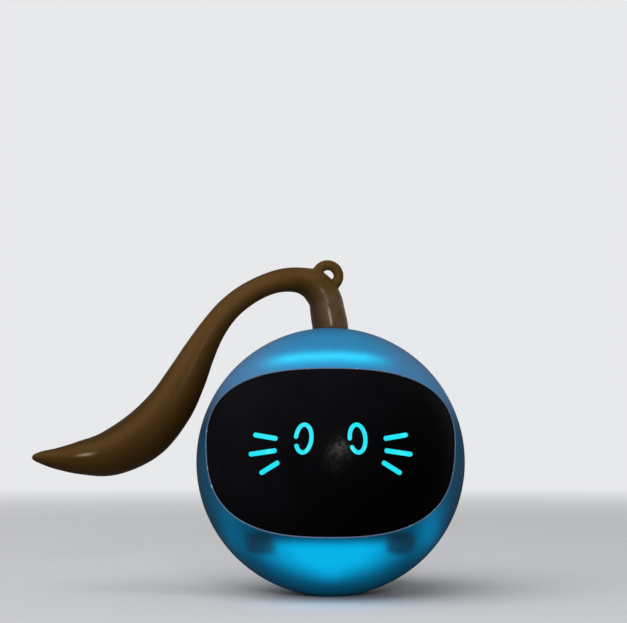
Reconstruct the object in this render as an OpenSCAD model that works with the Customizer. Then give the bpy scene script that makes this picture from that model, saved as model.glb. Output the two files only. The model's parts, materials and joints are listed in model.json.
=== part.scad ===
// Interactive cat ball: a ball with a lit cat face and a curved tail, driven by an off-centre weight inside.
// Millimetres. +Z is up and the face looks along -Y. The origin is the centre of the flat that the ball stands on.

/* [Ball] */
// Outside diameter of the ball
ball_d = 70; // [68:1:78]
// Wall of both shells
shell_wall = 2; // [1.8:0.1:2.4]
// Diameter of the flat that the ball stands on
stand_flat_d = 12; // [8:1:16]
// Reach of the rear shell's tongue into the front shell
tongue_length = 1.4; // [1:0.1:1.8]
// Gap between the tongue and its rebate
tongue_gap = 0.1; // [0.05:0.01:0.2]

/* [Visor] */
// Width of the visor window, measured round the ball
window_w = 76.1; // [70:0.05:86]
// Height of the visor window
window_h = 40.5; // [34:0.1:42]
// Height of the window's middle above the ball's middle
window_rise = 2.3; // [0:0.1:4]
// Squareness of the window: 2 is an ellipse
window_power = 2.75; // [2:0.05:4]
// Share by which the window is wider at its top than at its middle
window_taper = 0.048; // [0:0.002:0.08]
// Gap round the visor in its window
visor_gap = 0.15; // [0.1:0.01:0.3]
// Depth of the visor's face below the ball's surface
visor_inset = 0.2; // [0:0.05:0.5]
// Depth of the hoop of shell that stays behind the window
hoop_w = 9; // [8.6:0.1:9.6]
// Thickness of the flange behind the window's edge
flange_t = 1.6; // [1.2:0.1:2]
// Overlap of the flange behind the window's edge
flange_w = 2.4; // [1.5:0.1:3]

/* [Face] */
// Width of the whiskers' strokes
stroke_w = 1.1; // [0.8:0.05:1.6]
// Width of the eyes' strokes
eye_stroke_w = 0.95; // [0.7:0.05:1.4]
// Distance of each eye from the middle line
eye_x = 6.35; // [5:0.05:8]
// Height of the eyes above the ball's middle
eye_z = 5.55; // [3:0.05:7]
// Width of an eye, between the middles of its strokes
eye_w = 3.65; // [2.5:0.05:5]
// Height of an eye, between the middles of its strokes
eye_h = 6.6; // [4:0.05:8]
// Lean of each eye towards the other
eye_lean = 6; // [0:1:12]
// Thickness of the light guide behind the visor
guide_t = 1; // [0.8:0.1:1.4]

/* [Tail] */
// Radius of the stem that holds the tail
stem_r = 2.4; // [2:0.1:2.6]
// Running gap round the stem
stem_gap = 0.08; // [0.03:0.01:0.1]
// Outside radius of the hanging loop
loop_r = 4.25; // [3.6:0.05:4.6]
// Thickness of the hanging loop
loop_t = 2.4; // [2:0.1:3]
// Radius of the hole in the hanging loop
loop_hole_r = 1.4; // [1:0.05:1.6]

/* [Drive] */
// Gap between the off-centre weight's path and what is round it
weight_gap = 1.4; // [1:0.1:3]
// Height of the off-centre weight
weight_h = 9.6; // [7:0.1:9.8]
// Radius of the steel spindle
spindle_r = 1.5; // [1.2:0.1:1.8]
// Tooth size of every gear, as its module
gear_module = 0.5; // [0.45:0.01:0.52]
// Teeth of the gear on the spindle
output_teeth = 40; // [36:1:42]
// Teeth of the idler's large gear
idler_teeth = 36; // [32:1:38]
// Teeth of the motor pinion and of the idler's small gear
pinion_teeth = 12; // [12:1:14]
// Play cut from each side of every tooth
tooth_play = 0.05; // [0.03:0.01:0.08]
// Radius of the motor can
motor_r = 7.75; // [7:0.05:8]
// Width of the motor can across its flats
motor_flat_w = 12; // [11:0.1:13]
// Length of the motor can
motor_length = 16; // [14:0.5:17]

/* [Electronics] */
// Width of the battery
battery_w = 30; // [24:0.5:32]
// Height of the battery
battery_h = 20; // [16:0.5:22]
// Thickness of the battery
battery_t = 5.5; // [4:0.1:6]
// Radius of the main board
board_r = 17; // [16:0.1:18]
// Thickness of both circuit boards
board_t = 1.2; // [0.8:0.1:1.6]
// Radius of the power button
button_r = 4.55; // [4:0.05:5]
// Travel of the power button
button_travel = 0.5; // [0.3:0.05:0.7]

/* [Fasteners] */
// Radius of a screw's shank
screw_r = 0.98; // [0.8:0.01:1]
// Radius of a screw's head
screw_head_r = 1.9; // [1.7:0.05:2]
// Height of a screw's head
screw_head_h = 1.2; // [1:0.1:1.4]
// Radius of a screw boss
boss_r = 3.2; // [3:0.1:3.4]

/* [Hidden] */
$fn = 64;

// Overshoot of cuts, gap of pieces that are pressed or seated, and the running gap of turning pieces
over = 1;
seat_gap = 0.02;
run_gap = 0.06;

// Ball
ball_r = ball_d / 2;
inner_r = ball_r - shell_wall;
centre_z = sqrt(pow(ball_r, 2) - pow(stand_flat_d / 2, 2));
far = 2 * ball_r;
fuse_r = inner_r + shell_wall / 4;
tongue_outer_r = ball_r - shell_wall / 2 - tongue_gap;
tongue_inner_r = inner_r - 0.4;
seam_r = 0.25;

// Shell screws: the axes lie on a circle round the Y axis, well inside the wall
boss_ring_r = inner_r - 5;
upper_boss_angle = 45;
lower_boss_angle = -26;
upper_bosses = [for (side = [-1, 1]) on_ring(boss_ring_r, upper_boss_angle, side)];
lower_bosses = [for (side = [-1, 1]) on_ring(boss_ring_r, lower_boss_angle, side)];
shell_bosses = concat(upper_bosses, lower_bosses);
front_boss_y = -7.5;
ear_half_t = 1.2;
boss_head_y = 6;
pilot_r = screw_r + seat_gap;
screw_hole_r = screw_r + 0.15;
screw_slot_length = 1.9;
screw_slot_w = 0.5;
screw_slot_depth = 1.2;
head_hole_r = screw_head_r + 0.3;
rib_w = 2.4;
rib_start_y = -tongue_length - 0.4;

// Visor: its face lies just under the ball's surface and its flange behind the wall
visor_r = ball_r - visor_inset;
flange_r = inner_r - 0.1;
visor_inner_r = flange_r - flange_t;
window_steps = 96;
window_half_w = ball_r * sin(window_w / ball_d * 180 / PI);
window_back_y = -hoop_w;
flange_back_y = front_boss_y - 0.6;
lug_x = 16.5;
lug_drop = 3.05;
lug_z = window_rise - window_h / 2 - lug_drop;
lug_w = 6;
lug_t = 1.2;
lug_boss_r = 2.4;
lug_boss_h = 3.78;
lug_gap = 0.15;
lug_root = 0.4;
lug_y = -sqrt(pow(inner_r, 2) - pow(lug_x, 2) - pow(lug_z, 2)) + lug_boss_h;
lug_leg_t = 1.4;
lug_leg_z = lug_z + lug_boss_r + lug_root;
lug_screw_length = 5.4;

// Face: whiskers are [distance from the middle line, height, length, rise of the outer end in degrees]
whiskers = [[15.5, 6.05, 4.9, 10], [16.15, 2.3, 5.75, -8], [14.5, -1.35, 4.35, -31.5]];
eye_start = -145;
eye_end = 176;
eye_steps = 40;
stroke_gap = 0.05;
guide_outer_r = visor_inner_r - 0.1;
guide_inner_r = guide_outer_r - guide_t;
guide_w = 42;
guide_h = 18;
face_board_w = 30;
face_board_h = 18;
face_board_gap = 0.45;
face_board_z = window_rise;
face_board_y = face_board_gap
    - sqrt(pow(guide_inner_r, 2) - pow(face_board_w / 2, 2) - pow(face_board_h / 2 + abs(face_board_z), 2));
guide_screw_bite = 2.8;
guide_post_edge = 2.5;
guide_posts = [for (side = [-1, 1])
    [side * (face_board_w / 2 - guide_post_edge), face_board_z - face_board_h / 2 + guide_post_edge]];
guide_post_r = 1.9;
led_w = 3.5;
led_h = 2.8;
led_t = 0.8;
face_led_spots = [[-14, 2.5], [-6.3, 5.3], [6.3, 5.3], [14, 2.5]];
glow_led_x = 9;
glow_led_low_share = 0.55;
glow_led_edge = 1.6;
glow_led_spots = [for (x = [-1, 1], z = [-1, 1])
    [x * glow_led_x * (z < 0 ? glow_led_low_share : 1), face_board_z + z * (face_board_h / 2 - glow_led_edge)]];

// Tail: the stem turns in a seat at the top of the ball
seat_z = ball_r - 0.75;
seat_floor_z = seat_z - 2.2;
seat_end_gap = 0.05;
tail_base_z = seat_z + seat_end_gap;
stem_flange_r = stem_r + 2;
stem_flange_t = 1.4;
stem_length = 6.6;
stem_top_z = seat_z + stem_length;
stem_barb_r = stem_r + 0.6;
stem_barb_rise = 3;
stem_barb_h = 1.6;
seat_boss_r = stem_flange_r + 1.2;

// Tail's middle line: [distance to the side, height above the ball's top, radius], from the seat to the tip
tail_points = [
    [0, tail_base_z - ball_r, 4.7], [-0.15, 1, 4.7], [-0.46, 2.57, 4.65], [-0.82, 4.55, 4.57], [-1.54, 7.82, 4.35],
    [-4.05, 11.1, 4.23], [-7.93, 12.62, 3.41], [-12.44, 12.67, 3.07], [-17.14, 11.37, 2.89], [-22.32, 8.63, 2.97],
    [-27.05, 4.74, 3.12], [-31.07, -0.46, 3.48], [-34.56, -6.52, 4.26], [-37.95, -13.27, 5.25],
    [-42.3, -20.69, 6.09], [-48.94, -27.91, 6.68], [-57.45, -32.57, 5.99], [-65.27, -33.85, 4.5],
    [-71.3, -34.1, 2.97], [-75.36, -33.85, 1.86], [-77.74, -33.75, 0.89], [-78.33, -33.7, 0.3]
];
tail_root_r = tail_points[0][2];
tail_sides = 20;
tail_steps = 2;
loop_x = -0.8;
loop_z = ball_r + 13.75;
loop_hole_x = loop_x + 0.5;
loop_hole_z = loop_z + 0.4;
loop_round = 0.9;

// Drive heights, from the ball's middle
weight_r = norm([lug_x - lug_w / 2, lug_y + lug_t + screw_head_h]) - weight_gap;
weight_bottom_z = -sqrt(pow(inner_r - weight_gap, 2) - pow(weight_r, 2));
weight_top_z = weight_bottom_z + weight_h;
deck_gap = 1.4;
deck_z = weight_top_z + deck_gap;
deck_t = 2;
deck_side_gap = 1.5;
deck_r = boss_ring_r * cos(lower_boss_angle) - boss_r - deck_side_gap;
gear_room = 10;
cover_z = deck_z + gear_room;
cover_t = 2;
weight_hub_r = 5;
weight_edge_x = -2;
collar_r = 2.5;
spindle_top_z = cover_z + cover_t - 0.2;
bush_r = spindle_r + 1.5;
bush_lip = 0.4;
weight_screw_head_r = 3;
weight_screw_r = 0.8;
weight_screw_length = 5;

// Gears: pitch radii, meshing distances and places
pressure_angle = 25;
addendum = 0.9 * gear_module;
dedendum = 1.2 * gear_module;
output_pitch_r = gear_module * output_teeth / 2;
idler_pitch_r = gear_module * idler_teeth / 2;
pinion_pitch_r = gear_module * pinion_teeth / 2;
idler_angle = 40;
motor_angle = 170;
idler_at = (output_pitch_r + pinion_pitch_r) * [cos(idler_angle), sin(idler_angle)];
motor_at = idler_at + (idler_pitch_r + pinion_pitch_r) * [cos(motor_angle), sin(motor_angle)];
output_z = deck_z + deck_t + 0.6;
output_t = 3;
idler_small_t = 3.9;
idler_big_z = output_z - 0.1 + idler_small_t;
idler_big_t = 2.5;
idler_pin_r = 1;
idler_hub_r = 1.8;

// Motor: the can stands on the gear cover, with its shaft pointing down
motor_z = cover_z + cover_t;
motor_wall = 0.7;
motor_boss_r = 3;
motor_shaft_r = 0.75;
motor_bell_t = 2.5;
motor_screw_r = 0.78;
motor_screw_head_r = 1.5;
motor_screw_head_h = 0.8;
motor_screw_reach = motor_boss_r + motor_screw_r + 0.72;
magnet_t = 1.4;
armature_r = motor_flat_w / 2 - motor_wall - 0.3;
terminal_x = 3.5;
terminal_h = 3;

// Posts between the gear housing and its cover
cover_post_r = 2.2;
cover_post_ring_r = deck_r - cover_post_r - 0.3;
cover_posts = [for (a = [142, 193, 347]) cover_post_ring_r * [cos(a), sin(a)]];
cover_screw_length = 5;

// Battery: it stands on the gear cover against a padded wall
battery_wall_t = 1.2;
battery_wall_y = -6;
battery_wall_h = 14;
pad_t = 1;
pad_w = 18;
pad_edge = 2;
battery_y = battery_wall_y - battery_wall_t - pad_t - seat_gap;
battery_z = motor_z + seat_gap;

// Main board: it hangs on posts of the rear shell
board_gap = 0.53;
board_y = deck_r + board_gap;
board_z = 1;
board_back_y = board_y + board_t;
board_post_x = 13.5;
low_post_z = deck_z + deck_t + screw_head_r + 0.4;
board_posts = [[-board_post_x, board_z], [board_post_x, board_z], [0, low_post_z]];
board_post_r = 2.2;
board_screw_length = 6;
usb_w = 8.94;
usb_h = 3.26;
usb_post_gap = 1;
usb_z = low_post_z + board_post_r + usb_h / 2 + usb_post_gap;
usb_wall = 0.3;
usb_mouth_y = sqrt(pow(ball_r, 2) - pow(usb_z, 2) - pow(usb_w / 2, 2)) - 0.3;
usb_gap = 0.2;
usb_tongue_w = 6.7;
usb_tongue_t = 0.7;
usb_tongue_inset = 1;
button_z = 9;
button_gap = 0.15;
button_proud = 0.4;
button_dish_r = 24;
button_dish_depth = 0.35;
button_flange_r = button_r + 1;
button_flange_t = 1;
button_tube_r = button_flange_r + 0.6;
button_tube_y = sqrt(pow(inner_r, 2) - pow(button_z + button_tube_r, 2)) - 0.8;
button_play = 0.2;
button_foot_y = button_tube_y - button_play - button_flange_t;
switch_w = 6;
switch_t = 3.5;
switch_stem_r = 1.75;
switch_stem_y = button_foot_y - seat_gap;
switch_well = button_travel + 0.6;
switch_floor_y = board_back_y + switch_t - switch_well;
sensor_r = 2.1;
sensor_l = 8;
sensor_z = 7;
chip_w = 4.6;
chip_t = 1.5;
chip_z = -3;
beside_motor_x = motor_at[0] + motor_r + 0.6;
chip_x = board_post_x - screw_head_r - 0.4 - chip_w;

// Wires: middle lines of the red or first wire of each pair, from the ball's middle, and the step to the second
wire_r = 0.6;
wire_sides = 8;
wire_pair_step = [2, 0, 0];
battery_y_mid = battery_y - battery_t / 2;
battery_top_z = battery_z + battery_h + seat_gap;
board_end_y = board_y - seat_gap;
battery_wire = [
    [-11, battery_y_mid, battery_top_z], [-11, battery_y_mid, 18.46], [-11.03, -10.59, 20.14],
    [-11.13, -9.49, 21.46], [-11.29, -7.9, 22.15], [-11.48, -6.17, 22.2], [-11.7, -4.43, 22.2],
    [-11.92, -2.69, 22.2],
    [-12.11, -0.95, 22.2], [-12.27, 0.79, 22.2], [-12.37, 2.53, 22.2], [-12.4, 4.27, 22.2], [-12.4, 6.01, 22.2],
    [-12.4, 7.75, 22.2], [-12.4, 9.49, 22.19], [-12.4, 11.19, 21.86], [-12.4, 12.77, 21.13],
    [-12.39, 14.11, 20.04], [-12.05, 15.15, 18.64], [-11.36, 15.8, 17.04], [-10.53, 16.05, 15.32],
    [-9.73, 16.38, 13.68], [-9.17, 17.58, 12.44], [-9, 19.24, 12], [-9, board_end_y, 12]
];
motor_top_z = motor_z + motor_length + motor_bell_t + terminal_h;
motor_wire_x = motor_at[0] - terminal_x;
motor_wire = [
    [motor_wire_x, motor_at[1], motor_top_z + seat_gap], [motor_wire_x, motor_at[1], 19.57], [-5.33, 10.68, 20.91],
    [-5.21, 11.45, 22.04], [-5.01, 12.62, 22.73], [-4.76, 13.98, 22.88], [-4.47, 15.27, 22.45],
    [-4.16, 16.27, 21.52], [-3.85, 16.79, 20.26], [-3.56, 16.84, 18.89], [-3.32, 16.85, 17.52],
    [-3.13, 17.28, 16.23], [-3.02, 18.28, 15.31], [-3, 19.6, 15], [-3, board_end_y, 15]
];
face_end_y = face_board_y + board_t + seat_gap;
face_wire = [
    [3, face_end_y, 8], [3, -20.09, 8], [3, -18.29, 8.45], [3, -16.97, 9.75], [3.02, -16.5, 11.55],
    [3.07, -16.5, 13.44], [3.15, -16.45, 15.32], [3.27, -16.01, 17.14], [3.41, -15.17, 18.82],
    [3.57, -13.95, 20.25], [3.76, -12.44, 21.36], [3.96, -10.71, 22.09], [4.18, -8.85, 22.39], [4.4, -6.97, 22.4],
    [4.64, -5.09, 22.4], [4.88, -3.21, 22.4], [5.12, -1.32, 22.4], [5.36, 0.56, 22.4], [5.6, 2.44, 22.4],
    [5.82, 4.32, 22.4], [6.04, 6.21, 22.4], [6.24, 8.09, 22.4], [6.43, 9.95, 22.15], [6.59, 11.65, 21.35],
    [6.73, 13.03, 20.09], [6.85, 13.97, 18.47], [6.93, 14.38, 16.64], [6.98, 14.65, 14.78], [7, 15.65, 13.21],
    [7, 17.24, 12.23], [7, 19.09, 12], [7, board_end_y, 12]
];

// Placing helpers

// A point on a circle round the Y axis, mirrored to one side
function on_ring(r, angle, side) = [side * r * cos(angle), r * sin(angle)];

// Moves pieces that are drawn from the ball's middle up to where the ball stands on its flat
module from_middle() {
    translate([0, 0, centre_z]) children();
}

// A flat shape in X and Z, drawn out from y0 to y1
module along_y(y0, y1) {
    translate([0, y1, 0]) rotate([90, 0, 0]) linear_extrude(y1 - y0) children();
}

// A round rod along Y
module rod_y(at, r, y0, y1) {
    translate([at[0], y1, at[1]]) rotate([90, 0, 0]) cylinder(r = r, h = y1 - y0);
}

// A round rod along Z
module rod_z(at, r, z0, z1) {
    translate([at[0], at[1], z0]) cylinder(r = r, h = z1 - z0);
}

// A box between two corners
module box(low, high) {
    translate(low) cube(high - low);
}

// Half of space: the front is -Y and the rear +Y
module front_half() {
    box([-far, -far, -far], [far, 0, far]);
}

module rear_half() {
    box([-far, 0, -far], [far, far, far]);
}

module hollow_ball(outer, inner) {
    difference() {
        sphere(outer);
        sphere(inner);
    }
}

// A screw along Y: the head's seat is at seat_y and the shank points to -Y for way -1 or to +Y for way 1
module screw_y(at, seat_y, length, way) {
    tip_y = seat_y + way * length;
    head_y = seat_y - way * screw_head_h;
    rod_y(at, screw_r, min(seat_y, tip_y), max(seat_y, tip_y));
    difference() {
        rod_y(at, screw_head_r, min(seat_y, head_y), max(seat_y, head_y));
        for (turn = [0, 90])
            translate([at[0], head_y, at[1]]) rotate([0, turn, 0])
                cube([screw_slot_length, screw_slot_depth, screw_slot_w], center = true);
    }
}

// A screw along Z with its head on top
module screw_z(at, seat_z, length) {
    rod_z(at, screw_r, seat_z - length, seat_z);
    difference() {
        rod_z(at, screw_head_r, seat_z, seat_z + screw_head_h);
        for (turn = [0, 90])
            translate([at[0], at[1], seat_z + screw_head_h]) rotate([0, 0, turn])
                cube([screw_slot_length, screw_slot_w, screw_slot_depth], center = true);
    }
}

// Visor window and face strokes

// A point of the window's outline at angle t, grown outwards: a superellipse that widens towards its top
function window_point(t, grow) =
    let (
        u = sign(cos(t)) * pow(abs(cos(t)), 2 / window_power),
        v = sign(sin(t)) * pow(abs(sin(t)), 2 / window_power)
    )
    [(window_half_w + grow) * u * (1 + window_taper * v), window_rise + (window_h / 2 + grow) * v];

module window_outline(grow = 0) {
    polygon([for (i = [0:window_steps - 1]) window_point(360 * i / window_steps, grow)]);
}

module stroke_bar(length, w) {
    square([length, w], center = true);
    for (end = [-1, 1]) translate([end * length / 2, 0]) circle(d = w);
}

// The way out of an eye's ellipse at angle t, and a point on the ellipse moved that way by off
function eye_out(t) =
    let (n = [eye_h * cos(t), eye_w * sin(t)])
    n / norm(n);

function eye_point(t, off) = [eye_w / 2 * cos(t), eye_h / 2 * sin(t)] + off * eye_out(t);

// The round end of an eye's stroke of width w at angle t, from turn a0 on
function eye_cap(t, w, a0) = [for (k = [1:7]) eye_point(t, 0) + w / 2 * turned(eye_out(t), a0 + 22.5 * k)];

// An open oval: one stroke that leaves a gap at the left
module eye(w) {
    ts = [for (i = [0:eye_steps]) eye_start + (eye_end - eye_start) * i / eye_steps];
    polygon(concat(
        [for (t = ts) eye_point(t, w / 2)],
        eye_cap(eye_end, w, 0),
        [for (i = [eye_steps:-1:0]) eye_point(ts[i], -w / 2)],
        eye_cap(eye_start, w, 180)
    ));
}

module face_strokes(grow = 0) {
    for (side = [-1, 1]) {
        translate([side * eye_x, eye_z]) rotate(side * eye_lean) eye(eye_stroke_w + 2 * grow);
        for (k = whiskers)
            translate([side * k[0], k[1]]) rotate(side * k[3]) stroke_bar(k[2], stroke_w + 2 * grow);
    }
}

// Shells

// Screw bosses for one half, joined to the wall by ribs
module shell_boss(at, y0, y1) {
    rod_y(at, boss_r, y0, y1);
}

module boss_rib(at, y0, y1) {
    angle = atan2(at[1], at[0]);
    rotate([0, -angle, 0]) box([norm(at), y0, -rib_w / 2], [ball_r, y1, rib_w / 2]);
}

// The seat that holds the tail's stem, shared by the two shells
module tail_seat_cut() {
    rod_z([0, 0], tail_root_r + 0.3, seat_z, far);
    rod_z([0, 0], stem_r + stem_gap, 0, far);
}

// A fine round groove along the seam of the two shells
module seam_cut() {
    rotate([90, 0, 0]) rotate_extrude() translate([ball_r, 0]) circle(r = seam_r);
}

module stand_cut() {
    box([-far, -far, -far], [far, far, -centre_z]);
}

module front_shell() {
    color("deepskyblue") from_middle() difference() {
        union() {
            intersection() {
                hollow_ball(ball_r, inner_r);
                front_half();
            }
            intersection() {
                sphere(fuse_r);
                front_half();
                union() {
                    rod_z([0, 0], seat_boss_r, seat_floor_z, far);
                    for (at = upper_bosses) shell_boss(at, front_boss_y, 0);
                    for (at = lower_bosses) shell_boss(at, front_boss_y, -ear_half_t - seat_gap);
                    for (at = shell_bosses) boss_rib(at, front_boss_y, rib_start_y);
                    for (side = [-1, 1]) rod_y([side * lug_x, lug_z], lug_boss_r, -far, lug_y - seat_gap);
                }
            }
        }
        along_y(-far, window_back_y) window_outline();
        rod_y([0, 0], ball_r - shell_wall / 2, -tongue_length - tongue_gap, over);
        for (at = shell_bosses) rod_y(at, pilot_r, front_boss_y + 0.6, over);
        for (side = [-1, 1])
            rod_y([side * lug_x, lug_z], pilot_r, lug_y + lug_t - lug_screw_length - 0.3, 0);
        tail_seat_cut();
        seam_cut();
        stand_cut();
    }
}

module rear_shell() {
    color("deepskyblue") from_middle() difference() {
        union() {
            intersection() {
                hollow_ball(ball_r, inner_r);
                rear_half();
            }
            difference() {
                rod_y([0, 0], tongue_outer_r, -tongue_length, 1);
                rod_y([0, 0], tongue_inner_r, -tongue_length - over, 1 + over);
            }
            intersection() {
                sphere(fuse_r);
                rear_half();
                union() {
                    rod_z([0, 0], seat_boss_r, seat_floor_z, far);
                    for (at = upper_bosses) shell_boss(at, seat_gap, far);
                    for (at = lower_bosses) shell_boss(at, ear_half_t + seat_gap, far);
                    for (at = board_posts) rod_y(at, board_post_r, board_back_y + seat_gap, far);
                    rod_y([0, button_z], button_tube_r, button_tube_y, far);
                }
            }
        }
        for (at = shell_bosses) {
            rod_y(at, screw_hole_r, -over, far);
            rod_y(at, head_hole_r, boss_head_y, far);
        }
        for (at = board_posts) rod_y(at, pilot_r, 0, board_y + board_screw_length + 0.3);
        rod_y([0, button_z], button_r + button_gap, 0, far);
        translate([0, 0, usb_z]) along_y(0, far) usb_outline(usb_gap);
        tail_seat_cut();
        seam_cut();
        stand_cut();
    }
}

module shell_screws() {
    color("silver") from_middle()
        for (at = shell_bosses) screw_y(at, boss_head_y, boss_head_y - front_boss_y - 1.2, -1);
}

// Visor and what lies behind it

module visor() {
    color("black") from_middle() difference() {
        union() {
            intersection() {
                hollow_ball(visor_r, visor_inner_r);
                along_y(-far, window_back_y - visor_gap) window_outline(-visor_gap);
            }
            difference() {
                intersection() {
                    hollow_ball(flange_r, visor_inner_r);
                    along_y(-far, flange_back_y) window_outline(flange_w);
                }
                for (side = [-1, 1]) rod_y([side * lug_x, lug_z], lug_boss_r + lug_gap, -far, 0);
            }
            for (side = [-1, 1]) visor_lug(side * lug_x);
        }
        along_y(-far, -ball_r / 3) face_strokes(stroke_gap);
    }
}

// A leg behind the flange, and the lug that is screwed to the front shell, in the middle at x
module visor_lug(x) {
    leg_top_z = lug_leg_z + lug_leg_t;
    leg_y = -sqrt(pow(visor_inner_r + lug_root, 2) - pow(lug_x, 2) - pow(lug_leg_z, 2));
    intersection() {
        sphere(visor_inner_r + lug_root);
        box([x - lug_w / 2, leg_y - over, lug_leg_z], [x + lug_w / 2, lug_y + lug_t, leg_top_z]);
    }
    difference() {
        intersection() {
            sphere(flange_r);
            box([x - lug_w / 2, lug_y, lug_z - lug_boss_r], [x + lug_w / 2, lug_y + lug_t, leg_top_z]);
        }
        rod_y([x, lug_z], screw_hole_r, lug_y - over, lug_y + lug_t + over);
    }
}

module visor_screws() {
    color("silver") from_middle()
        for (side = [-1, 1]) screw_y([side * lug_x, lug_z], lug_y + lug_t + seat_gap, lug_screw_length, -1);
}

module face_light_guide() {
    color("aqua") from_middle() difference() {
        union() {
            intersection() {
                hollow_ball(guide_outer_r, guide_inner_r);
                along_y(-far, 0) translate([0, face_board_z]) square([guide_w, guide_h], center = true);
            }
            intersection() {
                hollow_ball(visor_r, guide_inner_r);
                along_y(-far, -ball_r / 3) face_strokes();
            }
            intersection() {
                sphere(guide_outer_r - guide_t / 2);
                for (at = guide_posts) rod_y(at, guide_post_r, -far, face_board_y - seat_gap);
            }
        }
        for (at = guide_posts) rod_y(at, pilot_r, face_board_y - guide_screw_bite - 0.4, 0);
    }
}

module face_board() {
    color("seagreen") from_middle() difference() {
        along_y(face_board_y, face_board_y + board_t)
            translate([0, face_board_z]) square([face_board_w, face_board_h], center = true);
        for (at = guide_posts) rod_y(at, screw_hole_r, -far, 0);
    }
}

module face_board_screws() {
    color("silver") from_middle()
        for (at = guide_posts) screw_y(at, face_board_y + board_t + seat_gap, board_t + guide_screw_bite, -1);
}

// A light-emitting chip on the front of the face board
module led(at) {
    front_y = face_board_y - seat_gap;
    translate([at[0] - led_w / 2, front_y - led_t, at[1] - led_h / 2]) cube([led_w, led_t, led_h]);
}

module face_leds() {
    color("lightyellow") from_middle()
        for (at = face_led_spots) led([sign(at[0]) * min(abs(at[0]), (face_board_w - led_w) / 2), at[1]]);
}

module glow_leds() {
    color("lightyellow") from_middle() for (at = glow_led_spots) led(at);
}

// Main board and what is on it

module main_board() {
    color("seagreen") from_middle() difference() {
        rod_y([0, board_z], board_r, board_y, board_back_y);
        for (at = board_posts) rod_y(at, screw_hole_r, 0, far);
    }
}

module main_board_screws() {
    color("silver") from_middle()
        for (at = board_posts) screw_y(at, board_y - seat_gap, board_screw_length, 1);
}

module usb_outline(grow = 0) {
    w = usb_w + 2 * grow;
    h = usb_h + 2 * grow;
    square([w - h, h], center = true);
    for (side = [-1, 1]) translate([side * (w - h) / 2, 0]) circle(d = h);
}

module usb_port() {
    color("gainsboro") from_middle() translate([0, 0, usb_z]) difference() {
        along_y(board_back_y + seat_gap, usb_mouth_y) usb_outline();
        along_y(board_back_y + 2 * usb_wall, usb_mouth_y + over) usb_outline(-usb_wall);
    }
}

module usb_tongue() {
    color("dimgray") from_middle()
        box(
            [-usb_tongue_w / 2, board_back_y + 2 * usb_wall + seat_gap, usb_z - usb_tongue_t / 2],
            [usb_tongue_w / 2, usb_mouth_y - usb_tongue_inset, usb_z + usb_tongue_t / 2]
        );
}

module tact_switch() {
    color("dimgray") from_middle() difference() {
        along_y(board_back_y + seat_gap, board_back_y + switch_t)
            translate([0, button_z]) square(switch_w, center = true);
        rod_y([0, button_z], switch_stem_r + run_gap, switch_floor_y, far);
    }
}

module wake_sensor() {
    color("gold") from_middle() translate([beside_motor_x, board_y - sensor_r - seat_gap, sensor_z])
        rotate([0, 90, 0]) cylinder(r = sensor_r, h = sensor_l);
}

module control_chip() {
    color("dimgray") from_middle() translate([chip_x, board_y - chip_t - seat_gap, chip_z])
        cube([chip_w, chip_t, chip_w]);
}

// Power button

module power_button() {
    face_r = ball_r + button_proud;
    dish_at = (face_r + button_dish_r - button_dish_depth) / face_r;
    color("white") from_middle() difference() {
        intersection() {
            sphere(face_r);
            union() {
                rod_y([0, button_z], button_r, button_foot_y, far);
                rod_y([0, button_z], button_flange_r, button_foot_y, button_foot_y + button_flange_t);
            }
        }
        translate(dish_at * [0, sqrt(pow(face_r, 2) - pow(button_z, 2)), button_z]) sphere(button_dish_r);
    }
}

module switch_stem() {
    color("dimgray") from_middle()
        rod_y([0, button_z], switch_stem_r, switch_floor_y + button_travel + 0.1, switch_stem_y);
}

// Battery

module battery() {
    end_r = battery_t / 2;
    color("lightgray") from_middle() translate([0, battery_y - end_r, battery_z]) linear_extrude(battery_h) {
        square([battery_w - battery_t, battery_t], center = true);
        for (side = [-1, 1]) translate([side * (battery_w / 2 - end_r), 0]) circle(r = end_r);
    }
}

module battery_pad() {
    color("black") from_middle()
        box(
            [-pad_w / 2, battery_y + seat_gap, motor_z + pad_edge],
            [pad_w / 2, battery_wall_y - battery_wall_t, motor_z + battery_wall_h - pad_edge]
        );
}

// Gear housing, cover and bearings

module gear_housing() {
    color("white") from_middle() difference() {
        union() {
            rod_z([0, 0], deck_r, deck_z, deck_z + deck_t);
            for (at = cover_posts) rod_z(at, cover_post_r, deck_z, cover_z - seat_gap);
            for (at = lower_bosses) {
                inner_x = sign(at[0]) * (deck_r - 3);
                rod_y(at, boss_r, -ear_half_t, ear_half_t);
                box(
                    [min(inner_x, at[0]), -ear_half_t, min(deck_z, at[1])],
                    [max(inner_x, at[0]), ear_half_t, max(deck_z + deck_t, at[1])]
                );
            }
        }
        rod_z([0, 0], bush_r + seat_gap, -far, far);
        rod_z(idler_at, idler_pin_r + seat_gap, -far, far);
        for (at = lower_bosses) rod_y(at, screw_hole_r, -far, far);
        for (at = cover_posts) rod_z(at, pilot_r, cover_z + cover_t - cover_screw_length - 0.3, far);
    }
}

module gear_cover() {
    color("white") from_middle() difference() {
        union() {
            rod_z([0, 0], deck_r, cover_z, cover_z + cover_t);
            box(
                [-battery_w / 2 + 1, battery_wall_y - battery_wall_t, cover_z],
                [battery_w / 2 - 1, battery_wall_y, motor_z + battery_wall_h]
            );
        }
        rod_z([0, 0], bush_r + seat_gap, -far, far);
        rod_z(idler_at, idler_pin_r + seat_gap, -far, far);
        rod_z(motor_at, motor_boss_r + seat_gap, -far, far);
        for (at = motor_screw_spots()) rod_z(at, motor_screw_r + 0.1, -far, far);
        for (at = cover_posts) rod_z(at, screw_hole_r, -far, far);
    }
}

module cover_screws() {
    color("silver") from_middle()
        for (at = cover_posts) screw_z(at, cover_z + cover_t + seat_gap, cover_screw_length);
}

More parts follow.
